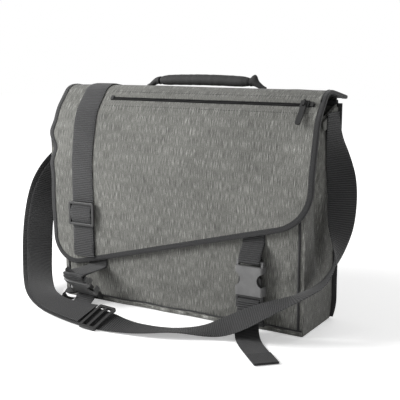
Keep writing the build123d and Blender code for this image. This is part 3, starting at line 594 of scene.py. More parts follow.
def edge_tape(name, outline_at, place, over, under):
    """A tape folded round an edge. place(point, lift) gives a point in space, inset runs inward."""
    insets = np.array([TAPE_WIDTH, TAPE_WIDTH * 0.5, 1.0, 0.1, -0.5, -0.5, 0.1, 1.0,
                       TAPE_WIDTH * 0.5, TAPE_WIDTH, TAPE_WIDTH, TAPE_WIDTH * 0.5, 1.4,
                       1.4, TAPE_WIDTH * 0.5, TAPE_WIDTH])
    lifts = np.array([over, over + 0.25, over + 0.1, over - 0.3, over - 1.0, under + 1.0, under + 0.3,
                      under - 0.1, under - 0.2, under, under + 0.5, under + 0.5, under + 0.6,
                      over - 0.7, over - 0.6, over - 0.6])
    rings = [outline_at(inset) for inset in insets]
    count = min(len(ring) for ring in rings)
    lines = [at(ring, np.linspace(0, walked(ring)[-1], count)) for ring in rings]
    points = np.stack([place(line, lift) for line, lift in zip(lines, lifts)], 1)
    rows, columns = points.shape[:2]
    walk = walked(lines[0]) * MM
    uv = np.stack([np.repeat(insets[None] * MM, rows, 0), np.repeat(walk[:, None], columns, 1)], -1)
    faces = quads(rows, columns, closed=True).tolist()
    faces.append(list(range(columns))[::-1])
    faces.append(list(range((rows - 1) * columns, rows * columns)))
    made = build(name, points, faces, uv)
    face_outwards(made)
    return made


def flap_edge(inset):
    """The flap's whole edge as (x, walk) pairs: from the back seam down, along the hem, and back up."""
    line = evenly(hem_outline(inset), 2.5)
    down = walk_at_height(line[:, 1])
    start = np.linspace(2, down[0] - 2.5, 60)
    side = FLAP_HALF - inset
    left = np.stack([np.full(60, -side), start], -1)
    right = np.stack([np.full(60, side), start[::-1]], -1)
    return np.vstack([left, np.stack([line[:, 0], down], -1), right])


flap_tape = edge_tape("flap_tape", flap_edge, lambda line, lift: on_flap(line[:, 0], line[:, 1], lift),
                      0.6, -3.9)
dress(flap_tape, BINDING, "flap", "binding", "flap_binding")


# %% [markdown]
# ## Stitches
# A row of stitches is a line of short raised dashes. Each dash is a tiny eight-cornered bar, so that a
# long seam stays light.

# %% Stitch rows
def stitch_row(name, path, out, body, slot="binding", dash=2.6, gap=1.3, thick=0.45, finish=None):
    """Dashes along a path, in metres, that stand off it along out."""
    walk = walked(path) / MM
    count = int(walk[-1] / (dash + gap))
    middle = (np.arange(count) + 0.5) * (dash + gap)
    centre = at(path / MM, middle)
    ahead = unit(at(path / MM, middle + 0.5) - at(path / MM, np.maximum(middle - 0.5, 0)))
    normal = unit(np.stack([np.interp(middle, walk, out[:, k]) for k in range(3)], -1))
    side = unit(np.cross(ahead, normal))
    signs = np.array([(a, b, c) for a in (-1, 1) for b in (-1, 1) for c in (-1, 1)], float)
    size = np.array([dash / 2, thick / 2, thick / 2])
    frame_of = np.stack([ahead, side, normal], 1)
    taper = np.where(signs[:, 2:] > 0, 0.75, 1.0)
    points = centre[:, None] + np.einsum("kc,ncd->nkd", signs * size * taper, frame_of)
    box_faces = np.array([(0, 1, 3, 2), (4, 6, 7, 5), (0, 4, 5, 1), (2, 3, 7, 6), (0, 2, 6, 4), (1, 5, 7, 3)])
    faces = (box_faces[None] + 8 * np.arange(count)[:, None, None]).reshape(-1, 4)
    made = build(name, points.reshape(-1, 3) * MM, faces, np.zeros((count * 8, 2)), 30)
    face_outwards(made)
    return dress(made, finish or THREAD, body, slot)


def flap_stitches(name, x, walk, lift, **more):
    """A stitch row laid on the flap through these points."""
    path = on_flap(x, walk, lift)
    out = on_flap(x, walk, lift + 1.0) - path
    return stitch_row(name, path, out, "flap", **more)


inner_edge = flap_edge(TAPE_WIDTH - 1.2)
flap_stitches("flap_tape_stitches", inner_edge[:, 0], inner_edge[:, 1], 0.95)

# %% [markdown]
# ## Strap on the flap
# A length of webbing runs from the crest down through a tri-glide, and its end is folded and sewn near
# the hem. It is laid on the flap: each of its points is a place on the flap, lifted by one or two
# thicknesses of webbing.

# %% Flap strap
STRAP_X = -143.0
STRAP_TOP_X = -124.0
STRAP_HALF = 17.5
GLIDE_Z = 125.0
WEB = 1.6


def strap_x(walk):
    """The strap's middle: upright on the front, leaning in over the shoulder."""
    return STRAP_X + (STRAP_TOP_X - STRAP_X) * ease(292 - walk, 215, 345) * 1.25


def flap_band(name, start, end, low, high, half, rise=0.0, body="flap", slot="webbing", stands_for=()):
    """Webbing laid on the flap from one walk to another. rise lifts its middle, as over a bar."""
    walk = np.linspace(start, end, max(8, int((end - start) / 2.5)))[:, None]
    side = np.linspace(-1, 1, 15)[None]
    edge = 1 - np.abs(side) ** 10
    hump = rise * np.sin(np.clip((walk - start) / (end - start), 0, 1) * math.pi) ** 0.8
    x = strap_x(walk) + side * half
    middle = (low + high) / 2 + hump
    thick = (high - low) / 2 * (0.35 + 0.65 * edge)
    walk = walk + 0 * side
    outer = on_flap(x, walk, middle + thick)
    inner = on_flap(x, walk, middle - thick)
    made = slab(name, outer, inner, np.stack([x - strap_x(walk), walk], -1) * MM)
    return dress(made, WEBBING, body, slot, *stands_for)


strap_low = float(walk_at_height(HEM_MIDDLE + HEM_SLOPE * STRAP_X + TAPE_WIDTH + 3))
flap_band("flap_webbing", 3.0, strap_low, 0.3, 0.3 + WEB, STRAP_HALF, stands_for=("flap_strap",))
fold_top = float(walk_at_height(140))
flap_band("flap_webbing_fold", fold_top, strap_low, 2.1, 2.1 + WEB, STRAP_HALF - 0.4,
          stands_for=("flap_strap_fold",))
glide_walk = float(walk_at_height(GLIDE_Z))
flap_band("flap_webbing_turn", glide_walk - 13, glide_walk + 13, 3.6, 3.6 + WEB, STRAP_HALF - 0.8, rise=3.8,
          body="flap_triglide")
for number, walk in enumerate((strap_low - 3, strap_low - 18)):
    side = np.linspace(-STRAP_HALF + 2, STRAP_HALF - 2, 30)
    flap_stitches(f"flap_webbing_stitches_{number}", strap_x(walk) + side, np.full(30, walk), 4.0)
for number, side in enumerate((-1, 1)):
    down = np.linspace(strap_low - 18, strap_low - 3, 20)
    flap_stitches(f"flap_webbing_side_stitches_{number}", strap_x(down) + side * (STRAP_HALF - 2), down, 4.0)

# %% [markdown]
# ## Zip
# The pocket's zip lies in a slit under the crest. Black tape shows as a dark line, a folded lip of cloth
# stands over it, and the coil is a row of small loops. A row of topstitching runs below it.

# %% Zip
ZIP_LEFT = -112.0
ZIP_RIGHT = 186.0


def zip_band(name, low, high, start, end, half, finish, slot, stands_for=(), crown=0.0):
    """A band along the zip between two walks, standing from low to high off the cloth."""
    x = np.linspace(start, end, 140)[None]
    down = ZIP_DOWN + np.linspace(-half[0], half[1], 9)[:, None]
    across = np.linspace(-1, 1, 9)[:, None]
    top = high + crown * (1 - across**2)
    x, down = np.broadcast_arrays(x, down)
    outer = on_flap(x, down, top + 0 * x)
    inner = on_flap(x, down, low + 0 * x)
    made = slab(name, outer, inner, np.stack([down, x], -1) * MM)
    return dress(made, finish, "flap", slot, *stands_for)


def lip_surface(name, from_line, to_line, heights):
    """A folded lip beside the zip. heights is its (distance from the zip, height off the cloth) profile."""
    x = np.linspace(ZIP_LEFT - 5, ZIP_RIGHT + 6, 150)[None]
    off = np.linspace(from_line, to_line, 13)[:, None]
    places, tops = np.array(heights).T
    high = np.interp(off, places, tops) + 0.25 * cloud(x, off, (26, 9), 17)
    down = ZIP_DOWN + off
    x, down, high = np.broadcast_arrays(x, down, high)
    made = slab(name, on_flap(x, down, high), on_flap(x, down, 0.15 + 0 * high), np.stack([x, down], -1) * MM)
    return dress(made, HEATHER, "flap", "heather_fabric")


zip_band("zip_tape_cloth", 0.2, 0.7, ZIP_LEFT, ZIP_RIGHT, (4, 4.5), BINDING, "zip_tape", ("zip_tape",))
lip_surface("zip_upper_lip", -15, -2.7, [(-15, 0.3), (-11, 1.4), (-7, 2.3), (-5.0, 2.0), (-4.4, 1.25), (-2.7, 1.0)])
lip_surface("zip_lower_lip", 2.7, 16, [(2.7, 1.0), (4.4, 1.25), (6, 1.5), (11, 1.1), (16, 0.3)])
for number, side in enumerate((-1.15, 1.15)):
    across = np.linspace(ZIP_LEFT + 1, ZIP_RIGHT - 1, 200)
    teeth = flap_stitches(f"zip_teeth_{number}", across, np.full(200, ZIP_DOWN + side), 1.65, dash=0.95, gap=0.6,
                          thick=1.7, finish=ZIP_PLASTIC, slot="zip_plastic")
    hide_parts("zip_coil")
flap_stitches("zip_stitches_below", np.linspace(ZIP_LEFT - 6, ZIP_RIGHT + 4, 200), np.full(200, ZIP_DOWN + 12), 1.15)
flap_stitches("zip_stitches_above", np.linspace(ZIP_LEFT - 2, ZIP_RIGHT + 4, 200), np.full(200, ZIP_DOWN - 11.5), 1.4)

# %% [markdown]
# ## Body panels
# The front, the back and the two sides are cloth panels sewn along bound seams. The front swells a
# little where the bag is filled and is creased low on its right. The sides fold inwards down their
# middle, as soft gussets do.

# %% Front panel
FRONT_LINE = round_line([(-47.5, 2), (-47.5, 223), (-38, 254)], [60], 12)
BODY_HALF = 185.0


def front_ripple(x, z):
    low = ease(z, 0, 14)
    rim = ease(185 - np.abs(x), 0, 22)
    swell = 2.2 * rim * ease(z, 0, 60) * (1 - ease(z, 190, 250))
    soft = 0.9 * cloud(x, z, (60, 48), 31) + 0.5 * cloud(x, z, (24, 30), 33)
    folds = crease(x, z, (120, 20), (183, 58), 7, 2.2) + crease(x, z, (135, 8), (184, 30), 5, -1.8)
    folds += crease(x, z, (60, 60), (150, 12), 9, 1.8) + crease(x, z, (-10, 12), (70, 50), 8, -1.6)
    folds += crease(x, z, (20, 6), (110, 30), 5, 1.3) + crease(x, z, (150, 60), (184, 95), 6, 1.7)
    folds += crease(x, z, (-120, 10), (-40, 34), 7, 1.4) + crease(x, z, (-60, 40), (30, 14), 6, -1.3)
    return swell + low * (0.35 + 0.65 * rim) * (soft + folds)


def on_front(x, walk, lift):
    """A point on the front panel, in metres."""
    x, walk, lift = np.broadcast_arrays(x, walk, lift)
    side = at(FRONT_LINE, walk)
    ahead = unit(at(FRONT_LINE, walk + 1) - at(FRONT_LINE, np.maximum(walk - 1, 0)))
    height = lift + front_ripple(x, side[..., 1])
    return np.stack([x, side[..., 0] - ahead[..., 1] * height, side[..., 1] + ahead[..., 0] * height], -1) * MM


def panel_grid(half, height, columns=130, rows=100):
    x, walk = np.meshgrid(np.linspace(-half, half, columns), np.linspace(0, height, rows))
    return x, walk


x, walk = panel_grid(BODY_HALF, walked(FRONT_LINE)[-1])
front_cloth = slab("front_cloth", on_front(x, walk, 0), on_front(x, walk, -2.0), np.stack([x, walk], -1) * MM)
dress(front_cloth, HEATHER, "bag_body", "heather_fabric", "front_panel")

# %% Back panel
BACK_Y = 47.5


def base_round(z):
    """How far the lower back edge is rounded forward at this height."""
    return 7 * np.clip(1 - np.asarray(z) / 26, 0, 1) ** 2


def back_ripple(x, z):
    """A padded panel: it swells between its edges."""
    rim = ease(185 - np.abs(x), 0, 26) * ease(z, 2, 26) * ease(284 - z, 0, 26)
    return 2.4 * rim + 0.7 * rim * cloud(x, z, (70, 60), 41)


x, z = panel_grid(BODY_HALF, 282.0)
z = z + 2
outer = np.stack([x, BACK_Y - base_round(z) + back_ripple(x, z), z], -1) * MM
inner = np.stack([x, BACK_Y - base_round(z) - 4.0, z], -1) * MM
back_cloth = slab("back_cloth", outer, inner, np.stack([x, z], -1) * MM)
dress(back_cloth, HEATHER, "bag_body", "heather_fabric", "back_panel")


# %% Side panels
def gusset_grid(side):
    """A side panel: it runs from the front seam to the back seam and folds in down its middle."""
    share = np.linspace(0, 1, 60)[None]
    rise = np.linspace(0, 1, 110)[:, None]
    z = 2 + rise * 250 + 0 * share
    lean = 9.5 * ease(z, 223, 254)
    front = -45.5 + lean
    back = 43.5 - base_round(z)
    y = front + (back - front) * share
    z = z + rise**2 * 29 * share
    fold = np.exp(-(((share - 0.42 - 0.08 * np.sin(z / 52)) / 0.14) ** 2))
    deep = 11.5 * fold * ease(z, 30, 110) * (0.8 + 0.2 * ease(z, 120, 240))
    soft = 1.3 * cloud(y, z, (26, 40), 51 + side) * np.sin(share * math.pi)
    soft += 1.1 * cloud(y, z, (14, 22), 57 + side) * np.sin(share * math.pi)
    soft = soft * ease(1 - rise, 0.0, 0.25)
    swell = 2.0 * np.sin(share * math.pi) * np.sin(rise * math.pi)
    return y, z, swell + soft - deep


for name, side in (("left", -1), ("right", 1)):
    y, z, out = gusset_grid(side)
    outer = np.stack([side * (BODY_HALF + out), y, z], -1) * MM
    inner = np.stack([side * (BODY_HALF - 2.0 + out), y, z], -1) * MM
    piece = slab(f"{name}_side_cloth", outer, inner, np.stack([y, z], -1) * MM)
    dress(piece, HEATHER, "bag_body", "heather_fabric", f"{name}_gusset")

# %% [markdown]
# ## Seams of the body
# Every seam of the body is closed by black tape. Along the front corners it is a thin round welt, and
# along the back corners it is a flat fin that stands out sideways.

# %% Body seams
ROUND = np.linspace(0, 2 * math.pi, 13)[:-1]


def rope_outline(wide, tall):
    return np.stack([np.cos(ROUND) * wide, np.sin(ROUND) * tall], -1) * MM


for name, side in (("left", -1), ("right", 1)):
    walk = np.linspace(3, walked(FRONT_LINE)[-1] - 2, 90)
    path = on_front(side * 178.0, walk, 0.3)
    across = np.tile([1.0, 0, 0], (len(path), 1))
    up = unit(on_front(side * 178.0, walk, 1.3) - path)
    piece = sweep(f"{name}_front_seam", path, across, up, rope_outline(1.7, 1.3))
    dress(piece, BINDING, "bag_body", "binding", f"{name}_front_seam_tape")
    z = np.linspace(3, 282, 100)
    wave = 0.8 * cloud(z, z * 0, (30, 1), 61 + side)
    path = np.stack([side * (188.6 - 3 * np.clip(1 - z / 30, 0, 1) ** 2), 45.6 + wave - base_round(z), z], -1) * MM
    across = unit(np.stack([1 + 0 * z, 0.08 * cloud(z, z * 0, (45, 1), 63 + side), 0 * z], -1))
    up = np.tile([0.0, 1.0, 0], (len(z), 1))
    fin = np.array([(-3.2, -1.2), (2.2, -1.2), (3.0, -0.7), (3.2, 0), (3.0, 0.7), (2.2, 1.2), (-3.2, 1.2)]) * MM
    piece = sweep(f"{name}_back_seam", path, across, up, fin)
    dress(piece, BINDING, "bag_body", "binding", f"{name}_back_seam_binding")

# %% Top edges and the base
x = np.linspace(-185, 185, 120)
top = on_front(x, walked(FRONT_LINE)[-1] - 0.5, -1.0)
down = on_front(x, walked(FRONT_LINE)[-1] - 6, -1.0)
up = unit(top - down)
across = unit(np.cross(up, [1.0, 0, 0]))
fold = np.array([(-2.1, -7), (-2.3, -2), (-1.9, 0.2), (-0.8, 1.1), (0.8, 1.1), (1.9, 0.2), (2.3, -2), (2.1, -7)]) * MM
piece = sweep("front_top_tape", top, across, up, fold)
dress(piece, BINDING, "bag_body", "binding", "front_top_binding")
path = np.stack([x, 45.5 + 0 * x, 284.5 + 0 * x], -1) * MM
across = np.tile([0.0, 1, 0], (len(x), 1))
up = np.tile([0.0, 0, 1], (len(x), 1))
fold = np.array([(-2.9, -6), (-3.1, -1), (-2.3, 1.2), (-1, 1.9), (1, 1.9), (2.6, 1.2), (3.3, -1), (3.1, -6)]) * MM
piece = sweep("back_top_tape", path, across, up, fold)
dress(piece, BINDING, "bag_body", "binding", "back_top_binding")

# %% [markdown]
# The base is cloth too. It turns up round the lower front edge as a soft roll, and a thin black line
# marks the seam above it. Inside, a padded divider makes the sleeve for a laptop.

# %% Base, divider and hinge cloth
x = np.linspace(-184, 184, 160)
across = np.tile([0.0, 1, 0], (len(x), 1))
up = np.tile([0.0, 0, 1], (len(x), 1))
lumps = 0.7 * cloud(x, x * 0, (38, 1), 81)
path = np.stack([x, -46.2 + lumps, 4.3 + 0.3 * lumps], -1) * MM
roll = sweep("base_roll", path, across, up, rope_outline(3.6, 4.0))
dress(roll, HEATHER, "bag_body", "heather_fabric")
path = np.stack([x, -49.0 + lumps, 8.4 + 0.9 * lumps], -1) * MM
piece = sweep("base_seam", path, across, up, rope_outline(0.9, 0.9))
dress(piece, BINDING, "bag_body", "binding", "base_welt")
gx, gy = np.meshgrid(np.linspace(-184, 184, 60), np.linspace(-46, 40.5, 30))
under = np.stack([gx, gy, 0.3 + 0 * gx], -1) * MM
above = np.stack([gx, gy, 2.0 + 0 * gx], -1) * MM
piece = slab("base_cloth", under, above, np.stack([gx, gy], -1) * MM)
dress(piece, HEATHER, "bag_body", "heather_fabric", "base_panel")

low, high = (np.array(corner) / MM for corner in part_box("laptop_divider"))
gx, gz = np.meshgrid(np.linspace(low[0], high[0], 90), np.linspace(low[2], high[2], 60))
edge = ease(gx - low[0], 0, 16) * ease(high[0] - gx, 0, 16) * ease(gz - low[2], 0, 12) * ease(high[2] - gz, 0, 14)
quilt = 0.5 + 0.5 * np.abs(np.sin(gx / 42)) ** 0.5
front_face = np.stack([gx, low[1] + 0.8 - 1.3 * edge * quilt, gz], -1) * MM
back_face = np.stack([gx, high[1] - 0.8 + 1.3 * edge * quilt, gz], -1) * MM
piece = slab("divider_padding", front_face, back_face, np.stack([gx, gz], -1) * MM)
dress(piece, LINING, "bag_body", "lining_fabric", "laptop_divider")
x = np.linspace(low[0], high[0], 80)
path = np.stack([x, 0 * x + (low[1] + high[1]) / 2, 0 * x + high[2] - 0.3], -1) * MM
across = np.tile([0.0, 1, 0], (len(x), 1))
up = np.tile([0.0, 0, 1], (len(x), 1))
fold = np.array([(-2.2, -6), (-2.5, -1), (-1.8, 0.6), (0, 1.1), (1.8, 0.6), (2.5, -1), (2.2, -6)]) * MM
piece = sweep("divider_tape", path, across, up, fold)
dress(piece, BINDING, "bag_body", "binding")

HINGE_LINE = round_line([(48.9, 268), (49.5, 289.5), (38.0, 293.9), (26, 296.1)], [3, 8], 8)
side = evenly(HINGE_LINE, 1.2)
ahead = unit(np.gradient(side, axis=0))
out = np.stack([ahead[:, 1], -ahead[:, 0]], -1)
gx = np.linspace(-183, 183, 120)[None] + 0 * side[:, :1]
wave = 0.35 * cloud(gx, side[:, 1:] + 0 * gx, (40, 14), 91)
outer = np.stack([gx, side[:, :1] + out[:, :1] * wave, side[:, 1:] + out[:, 1:] * wave], -1) * MM
inner = np.stack([gx, side[:, :1] - out[:, :1] * 0.8 + 0 * gx, side[:, 1:] - out[:, 1:] * 0.8 + 0 * gx], -1)
piece = slab("flap_hinge_cloth", outer, inner * MM, np.stack([gx, walked(side)[:, None] + 0 * gx], -1) * MM)
dress(piece, HEATHER, "", "heather_fabric")
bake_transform(piece)
x = np.linspace(-180, 180, 200)
path = np.stack([x, 49.35 + 0 * x, 271 + 0 * x], -1) * MM
stitch_row("hinge_stitches", path, np.tile([0.0, 1.0, 0.0], (len(x), 1)), "bag_body")

# %% [markdown]
# ## Straps
# A strap is webbing that follows a smooth line through listed points, each with the direction of
# the strap's width there. Two splines are made: one through the points and one through the points moved
# along the width. Between them they say where the strap is and how it lies at every place.

# %% Strap maker
WEB_OUTLINE = 15


def spline_points(route, name):
    """Points along a smooth quadratic spline with the route's points as its controls, in metres."""
    curve = bpy.data.curves.new(name, "CURVE")
    curve.dimensions = "3D"
    line = curve.splines.new("NURBS")
    line.points.add(len(route) - 1)
    for point, place in zip(line.points, route):
        point.co = (*place, 1)
    line.order_u = 3
    line.use_endpoint_u = True
    line.resolution_u = 12
    holder = bpy.data.objects.new(name, curve)
    bpy.context.scene.collection.objects.link(holder)
    mesh = bpy.data.meshes.new_from_object(holder)
    points = np.array([v.co for v in mesh.vertices], float)
    bpy.data.objects.remove(holder)
    return points


def strap_frame(route):
    """Where the strap's middle is, and which way its width and its face point, along the route."""
    places = np.array([point for point, _ in route], float) * MM
    widths = unit(np.array([wide for _, wide in route], float))
    path = spline_points(places, "strap_route")
    beside = spline_points(places + widths * 0.01, "strap_side")
    ahead = unit(np.gradient(path, axis=0))
    across = beside - path
    across = unit(across - ahead * (across * ahead).sum(1, keepdims=True))
    return path, across, unit(np.cross(ahead, across))


def web_outline(width, thickness):
    """Webbing's section: flat, with its two edges rounded off."""
    side = np.sin(np.linspace(-1, 1, WEB_OUTLINE) * math.pi / 2)
    tall = (1 - np.abs(side) ** 12) ** 0.5 * 0.75 + 0.25
    top = np.stack([side * width / 2, tall * thickness / 2], -1)
    return np.vstack([top, top[::-1] * (1, -1)]) * MM


def woven(path, across, width, thickness, rib=2.8, deep=0.16):
    """The path in fine steps, and webbing's section at each step: thick on a rib, thin between two."""
    walk = walked(path) / MM
    fine = np.linspace(0, walk[-1], max(12, int(walk[-1] / 0.62)))
    line = np.stack([np.interp(fine, walk, path[:, k]) for k in range(3)], -1)
    wide = unit(np.stack([np.interp(fine, walk, across[:, k]) for k in range(3)], -1))
    ahead = unit(np.gradient(line, axis=0))
    ahead = np.stack([np.convolve(np.pad(ahead[:, k], 4, "edge"), np.ones(9) / 9, "valid") for k in range(3)], -1)
    ahead = unit(ahead)
    wide = unit(wide - ahead * (wide * ahead).sum(1, keepdims=True))
    flat = np.repeat(web_outline(width, thickness)[None], len(fine), 0)
    relief = 1 + deep * np.cos(2 * math.pi * fine / rib)[:, None] - deep
    flat[..., 1] *= relief
    return line, wide, unit(np.cross(ahead, wide)), flat


def ribbon(name, route, width, body, *stands_for, thickness=WEB):
    path, across, up = strap_frame(route)
    line, wide, face, section = woven(path, across, width, thickness)
    piece = sweep(name, line, wide, face, section)
    dress(piece, STRAP_WEBBING, "" if name == "right_closure_webbing" else body, "webbing", *stands_for)
    print(name, "length", round(walked(path)[-1] / MM), "mm")
    return piece, path, across, up


# %% Shoulder strap
STRAP_ROUTE = [
    ((188.6, 25, 272), (0, 1, 0)),
    ((189.6, 25, 244), (0.1, 1, 0)),
    ((197, 24, 216), (0.5, 0.87, 0)),
    ((205, 20, 181), (0.86, 0.51, 0)),
    ((208, 12, 141), (0.7, 0.71, 0)),
    ((210, 0, 109), (0.1, 1, 0)),
    ((210, -17, 86), (-0.3, 0.95, 0)),
    ((206, -45, 69), (-0.4, 0.91, -0.1)),
    ((192, -76, 60), (-0.4, 0.91, -0.05)),
    ((163, -89, 46), (-0.42, 0.87, 0.15)),
    ((131, -92, 29), (-0.4, 0.82, 0.4)),
    ((101, -92, 13.5), (-0.42, 0.82, 0.38)),
    ((74, -102, 5), (-0.5, 0.86, 0)),
    ((44, -121, 7), (-0.5, 0.85, -0.22)),
    ((14, -130, 4.5), (-0.45, 0.88, -0.1)),
    ((-18, -133, 3), (-0.4, 0.9, 0.05)),
    ((-48, -138, 7.5), (0, 0.95, 0.3)),
    ((-82, -136, 9), (0.28, 0.88, 0.38)),
    ((-119, -126, 6.5), (0.1, 0.97, 0.2)),
    ((-160, -111, 5), (-0.1, 0.98, 0.1)),
    ((-200, -90, 8), (-0.2, 0.96, 0)),
    ((-233, -60, 17), (0, 1, 0)),
    ((-258, -32, 36), (0.35, 0.93, 0)),
    ((-275, -11, 64), (0.7, 0.71, 0)),
    ((-282, 2, 98), (0.8, 0.6, 0)),
    ((-277, 10, 138), (0.75, 0.66, 0)),
    ((-260, 15, 174), (0.5, 0.87, 0)),
    ((-235, 19, 204), (0.2, 0.98, 0)),
    ((-209.8, 21, 226.6), (0, 1, 0)),
]

RETURN_ROUTE = [
    ((-205.4, 21, 220.3), (0, 1, 0)),
    ((-229, 18.5, 198), (0.2, 0.98, 0)),
    ((-252, 14, 169), (0.5, 0.87, 0)),
    ((-268, 9, 135), (0.75, 0.66, 0)),
    ((-273, 1, 98), (0.8, 0.6, 0)),
    ((-266, -11, 67), (0.7, 0.71, 0)),
    ((-250, -31, 41), (0.35, 0.93, 0)),
    ((-227, -57, 22.5), (0, 1, 0)),
    ((-197, -87, 12.5), (-0.2, 0.96, 0)),
    ((-159, -110, 8.6), (-0.1, 0.98, 0.1)),
    ((-118, -125, 10), (0.1, 0.97, 0.2)),
    ((-79, -134, 12.6), (0.26, 0.88, 0.36)),
]

strap_piece, strap_path, _, _ = ribbon("shoulder_webbing", STRAP_ROUTE, 38, "bag_body", "shoulder_strap")
back_piece, back_path, _, _ = ribbon("shoulder_webbing_doubled", RETURN_ROUTE, 38, "bag_body",
                                     "shoulder_strap_return")

# %% Closure straps
RIGHT_CLOSURE_ROUTE = [
    ((118, -48.8, 5), (1, 0, 0)),
    ((118, -50, 18), (1, 0, 0)),
    ((118, -54.5, 31), (1, 0, 0)),
    ((118, -54.7, 43.2), (1, 0, 0)),
    ((118, -65.5, 43), (1, 0, 0)),
    ((118, -65.7, 32), (1, 0, 0)),
    ((119, -69, 23), (1, 0, 0)),
    ((123, -79, 13), (0.98, 0.2, 0)),
    ((131, -93, 4.8), (0.95, 0.3, 0)),
    ((143, -107, 1.6), (0.8, 0.6, 0)),
    ((163, -128, 1.4), (0.72, 0.69, 0)),
    ((187, -153, 1.4), (0.72, 0.69, 0)),
]

LEFT_CLOSURE_ROUTE = [
    ((-135.5, -49.4, 5.4), (1, 0, 0)),
    ((-135.4, -50.6, 12.6), (1, 0, 0)),
    ((-134.9, -54.6, 15.2), (0.99, 0.12, -0.1)),
    ((-133.6, -61.6, 20.2), (0.99, 0.12, -0.1)),
    ((-133.4, -68.2, 12.2), (0.99, 0.12, -0.1)),
    ((-133.6, -73, 6.4), (1, 0, 0)),
    ((-134, -79.5, 2), (1, 0, 0)),
    ((-134.5, -89, 1.4), (1, 0, 0)),
]

LEFT_TAIL_ROUTE = [
    ((-154, -70.5, 12), (-0.5, 0.86, 0)),
    ((-160, -70.7, 15), (-0.5, 0.86, 0)),
    ((-167.5, -70.9, 13.6), (-0.5, 0.86, 0)),
    ((-172, -70.9, 7.6), (-0.5, 0.86, 0)),
    ((-168.5, -70.7, 2.2), (-0.5, 0.86, 0)),
    ((-161, -70.5, 1.2), (-0.5, 0.86, 0)),
]

right_tail, right_path, right_across, right_up = ribbon(
    "right_closure_webbing", RIGHT_CLOSURE_ROUTE, 30, "bag_body", "right_closure_strap")
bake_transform(right_tail)
hem = slice(-8, None)
hem_path = right_path[hem] + right_up[hem] * (1.5 * MM if right_up[-1][2] > 0 else -1.5 * MM)
hem_piece = sweep("right_closure_hem", hem_path, right_across[hem], right_up[hem], web_outline(29.4, 1.5))
dress(hem_piece, STRAP_WEBBING, "bag_body", "webbing")
ribbon("left_closure_webbing", LEFT_CLOSURE_ROUTE, 30, "bag_body", "left_closure_strap")
ribbon("left_closure_end", LEFT_TAIL_ROUTE, 24, "bag_body", "left_closure_tail")

# %% [markdown]
# Short pieces of webbing hold the fittings. Each is one strip in a few round turns: the tabs of the
# two sockets come down from inside the flap, go round the socket's bar and back up, and the strap's
# ring hangs in a folded tab. Tapered patches of cloth carry the strap's two ends.


# %% Tabs, loops and patches
def folded(name, corners, widths, radii, width, body, *stands_for):
    """Webbing through these corners in millimetres, with its width direction given at each one."""
    corners = np.asarray(corners, float)
    line = evenly(round_line(corners, radii, 10), 0.7)
    share = walked(line) / walked(line)[-1]
    marks = walked(corners) / walked(corners)[-1]
    wide = np.stack([np.interp(share, marks, np.asarray(widths, float)[:, k]) for k in range(3)], -1)
    ahead = unit(np.gradient(line, axis=0))
    wide = unit(wide - ahead * (wide * ahead).sum(1, keepdims=True))
    piece = sweep(name, line * MM, wide, unit(np.cross(ahead, wide)), web_outline(width, WEB))
    return dress(piece, STRAP_WEBBING, body, "webbing", *stands_for)


TAB_LAYER_Y = -50.9
SOCKET_BAR = 52.4
for name, place, wide, deep, rise in (
    ("right", (118, -60, 48), (1, 0, 0), (0, 1, 0), (0, 0, 1)),
    ("left", (-132.5, -68.4, 19.2), (0.9877, 0.1197, -0.1006), (0, 0.6428, 0.766), (0.1564, -0.7566, 0.6349)),
):
    place, wide, deep, rise = (np.array(v, float) for v in (place, wide, deep, rise))
    local = lambda y, z: place + deep * y + rise * z
    middle = local(0, SOCKET_BAR)[0]
    hem_z = HEM_MIDDLE + HEM_SLOPE * middle
    level = np.array([1.0, 0, 0])
    corners = [(middle, TAB_LAYER_Y - 0.8, hem_z + 34), (middle, TAB_LAYER_Y - 0.8, hem_z - 8.6),
               local(-0.9, SOCKET_BAR), local(-4, 45), local(-4, 40), local(4, 40), local(4, 45),
               local(0.9, SOCKET_BAR), (middle, TAB_LAYER_Y + 0.8, hem_z - 9.6),
               (middle, TAB_LAYER_Y + 0.8, hem_z + 34)]
    widths = [level, level, wide, wide, wide, wide, wide, wide, level, level]
    folded(f"{name}_tab_webbing", corners, widths, [5, 0.8, 2, 2.4, 2.4, 2, 0.8, 5], 30, "flap", f"{name}_socket_tab")

RING_X, RING_Z, RING_Y = -191.8, 242.0, 21.0
turn = np.linspace(0, -1.4 * math.pi, 24)
ring_turn = np.stack([RING_X + 3.8 * np.cos(turn), RING_Y + 0 * turn, RING_Z + 3.8 * np.sin(turn)], -1)
corners = np.vstack([[(-188.0, RING_Y, 271)], ring_turn, [(-189.7, RING_Y, 249), (-189.7, RING_Y, 271)]])
wide = np.tile([0.0, 1, 0], (len(corners), 1))
line = evenly(corners, 0.8)
ahead = unit(np.gradient(line, axis=0))
across = np.tile([0.0, 1, 0], (len(line), 1))
piece = sweep("ring_tab_webbing", line * MM, across, unit(np.cross(ahead, across)), web_outline(38, WEB))
dress(piece, WEBBING, "bag_body", "webbing", "strap_ring_tab")
turn = np.linspace(-0.5 * math.pi, 0.5 * math.pi, 20)[:, None]
line = np.array([-206.6, RING_Y, 224.4]) + 3.8 * (np.cos(turn) * (0.78, 0, 0.63) + np.sin(turn) * (0.63, 0, -0.78))
ahead = unit(np.gradient(line, axis=0))
across = np.tile([0.0, 1, 0], (len(line), 1))
piece = sweep("ring_loop_webbing", line * MM, across, unit(np.cross(ahead, across)), web_outline(38, WEB))
dress(piece, WEBBING, "bag_body", "webbing", "strap_ring_loop")

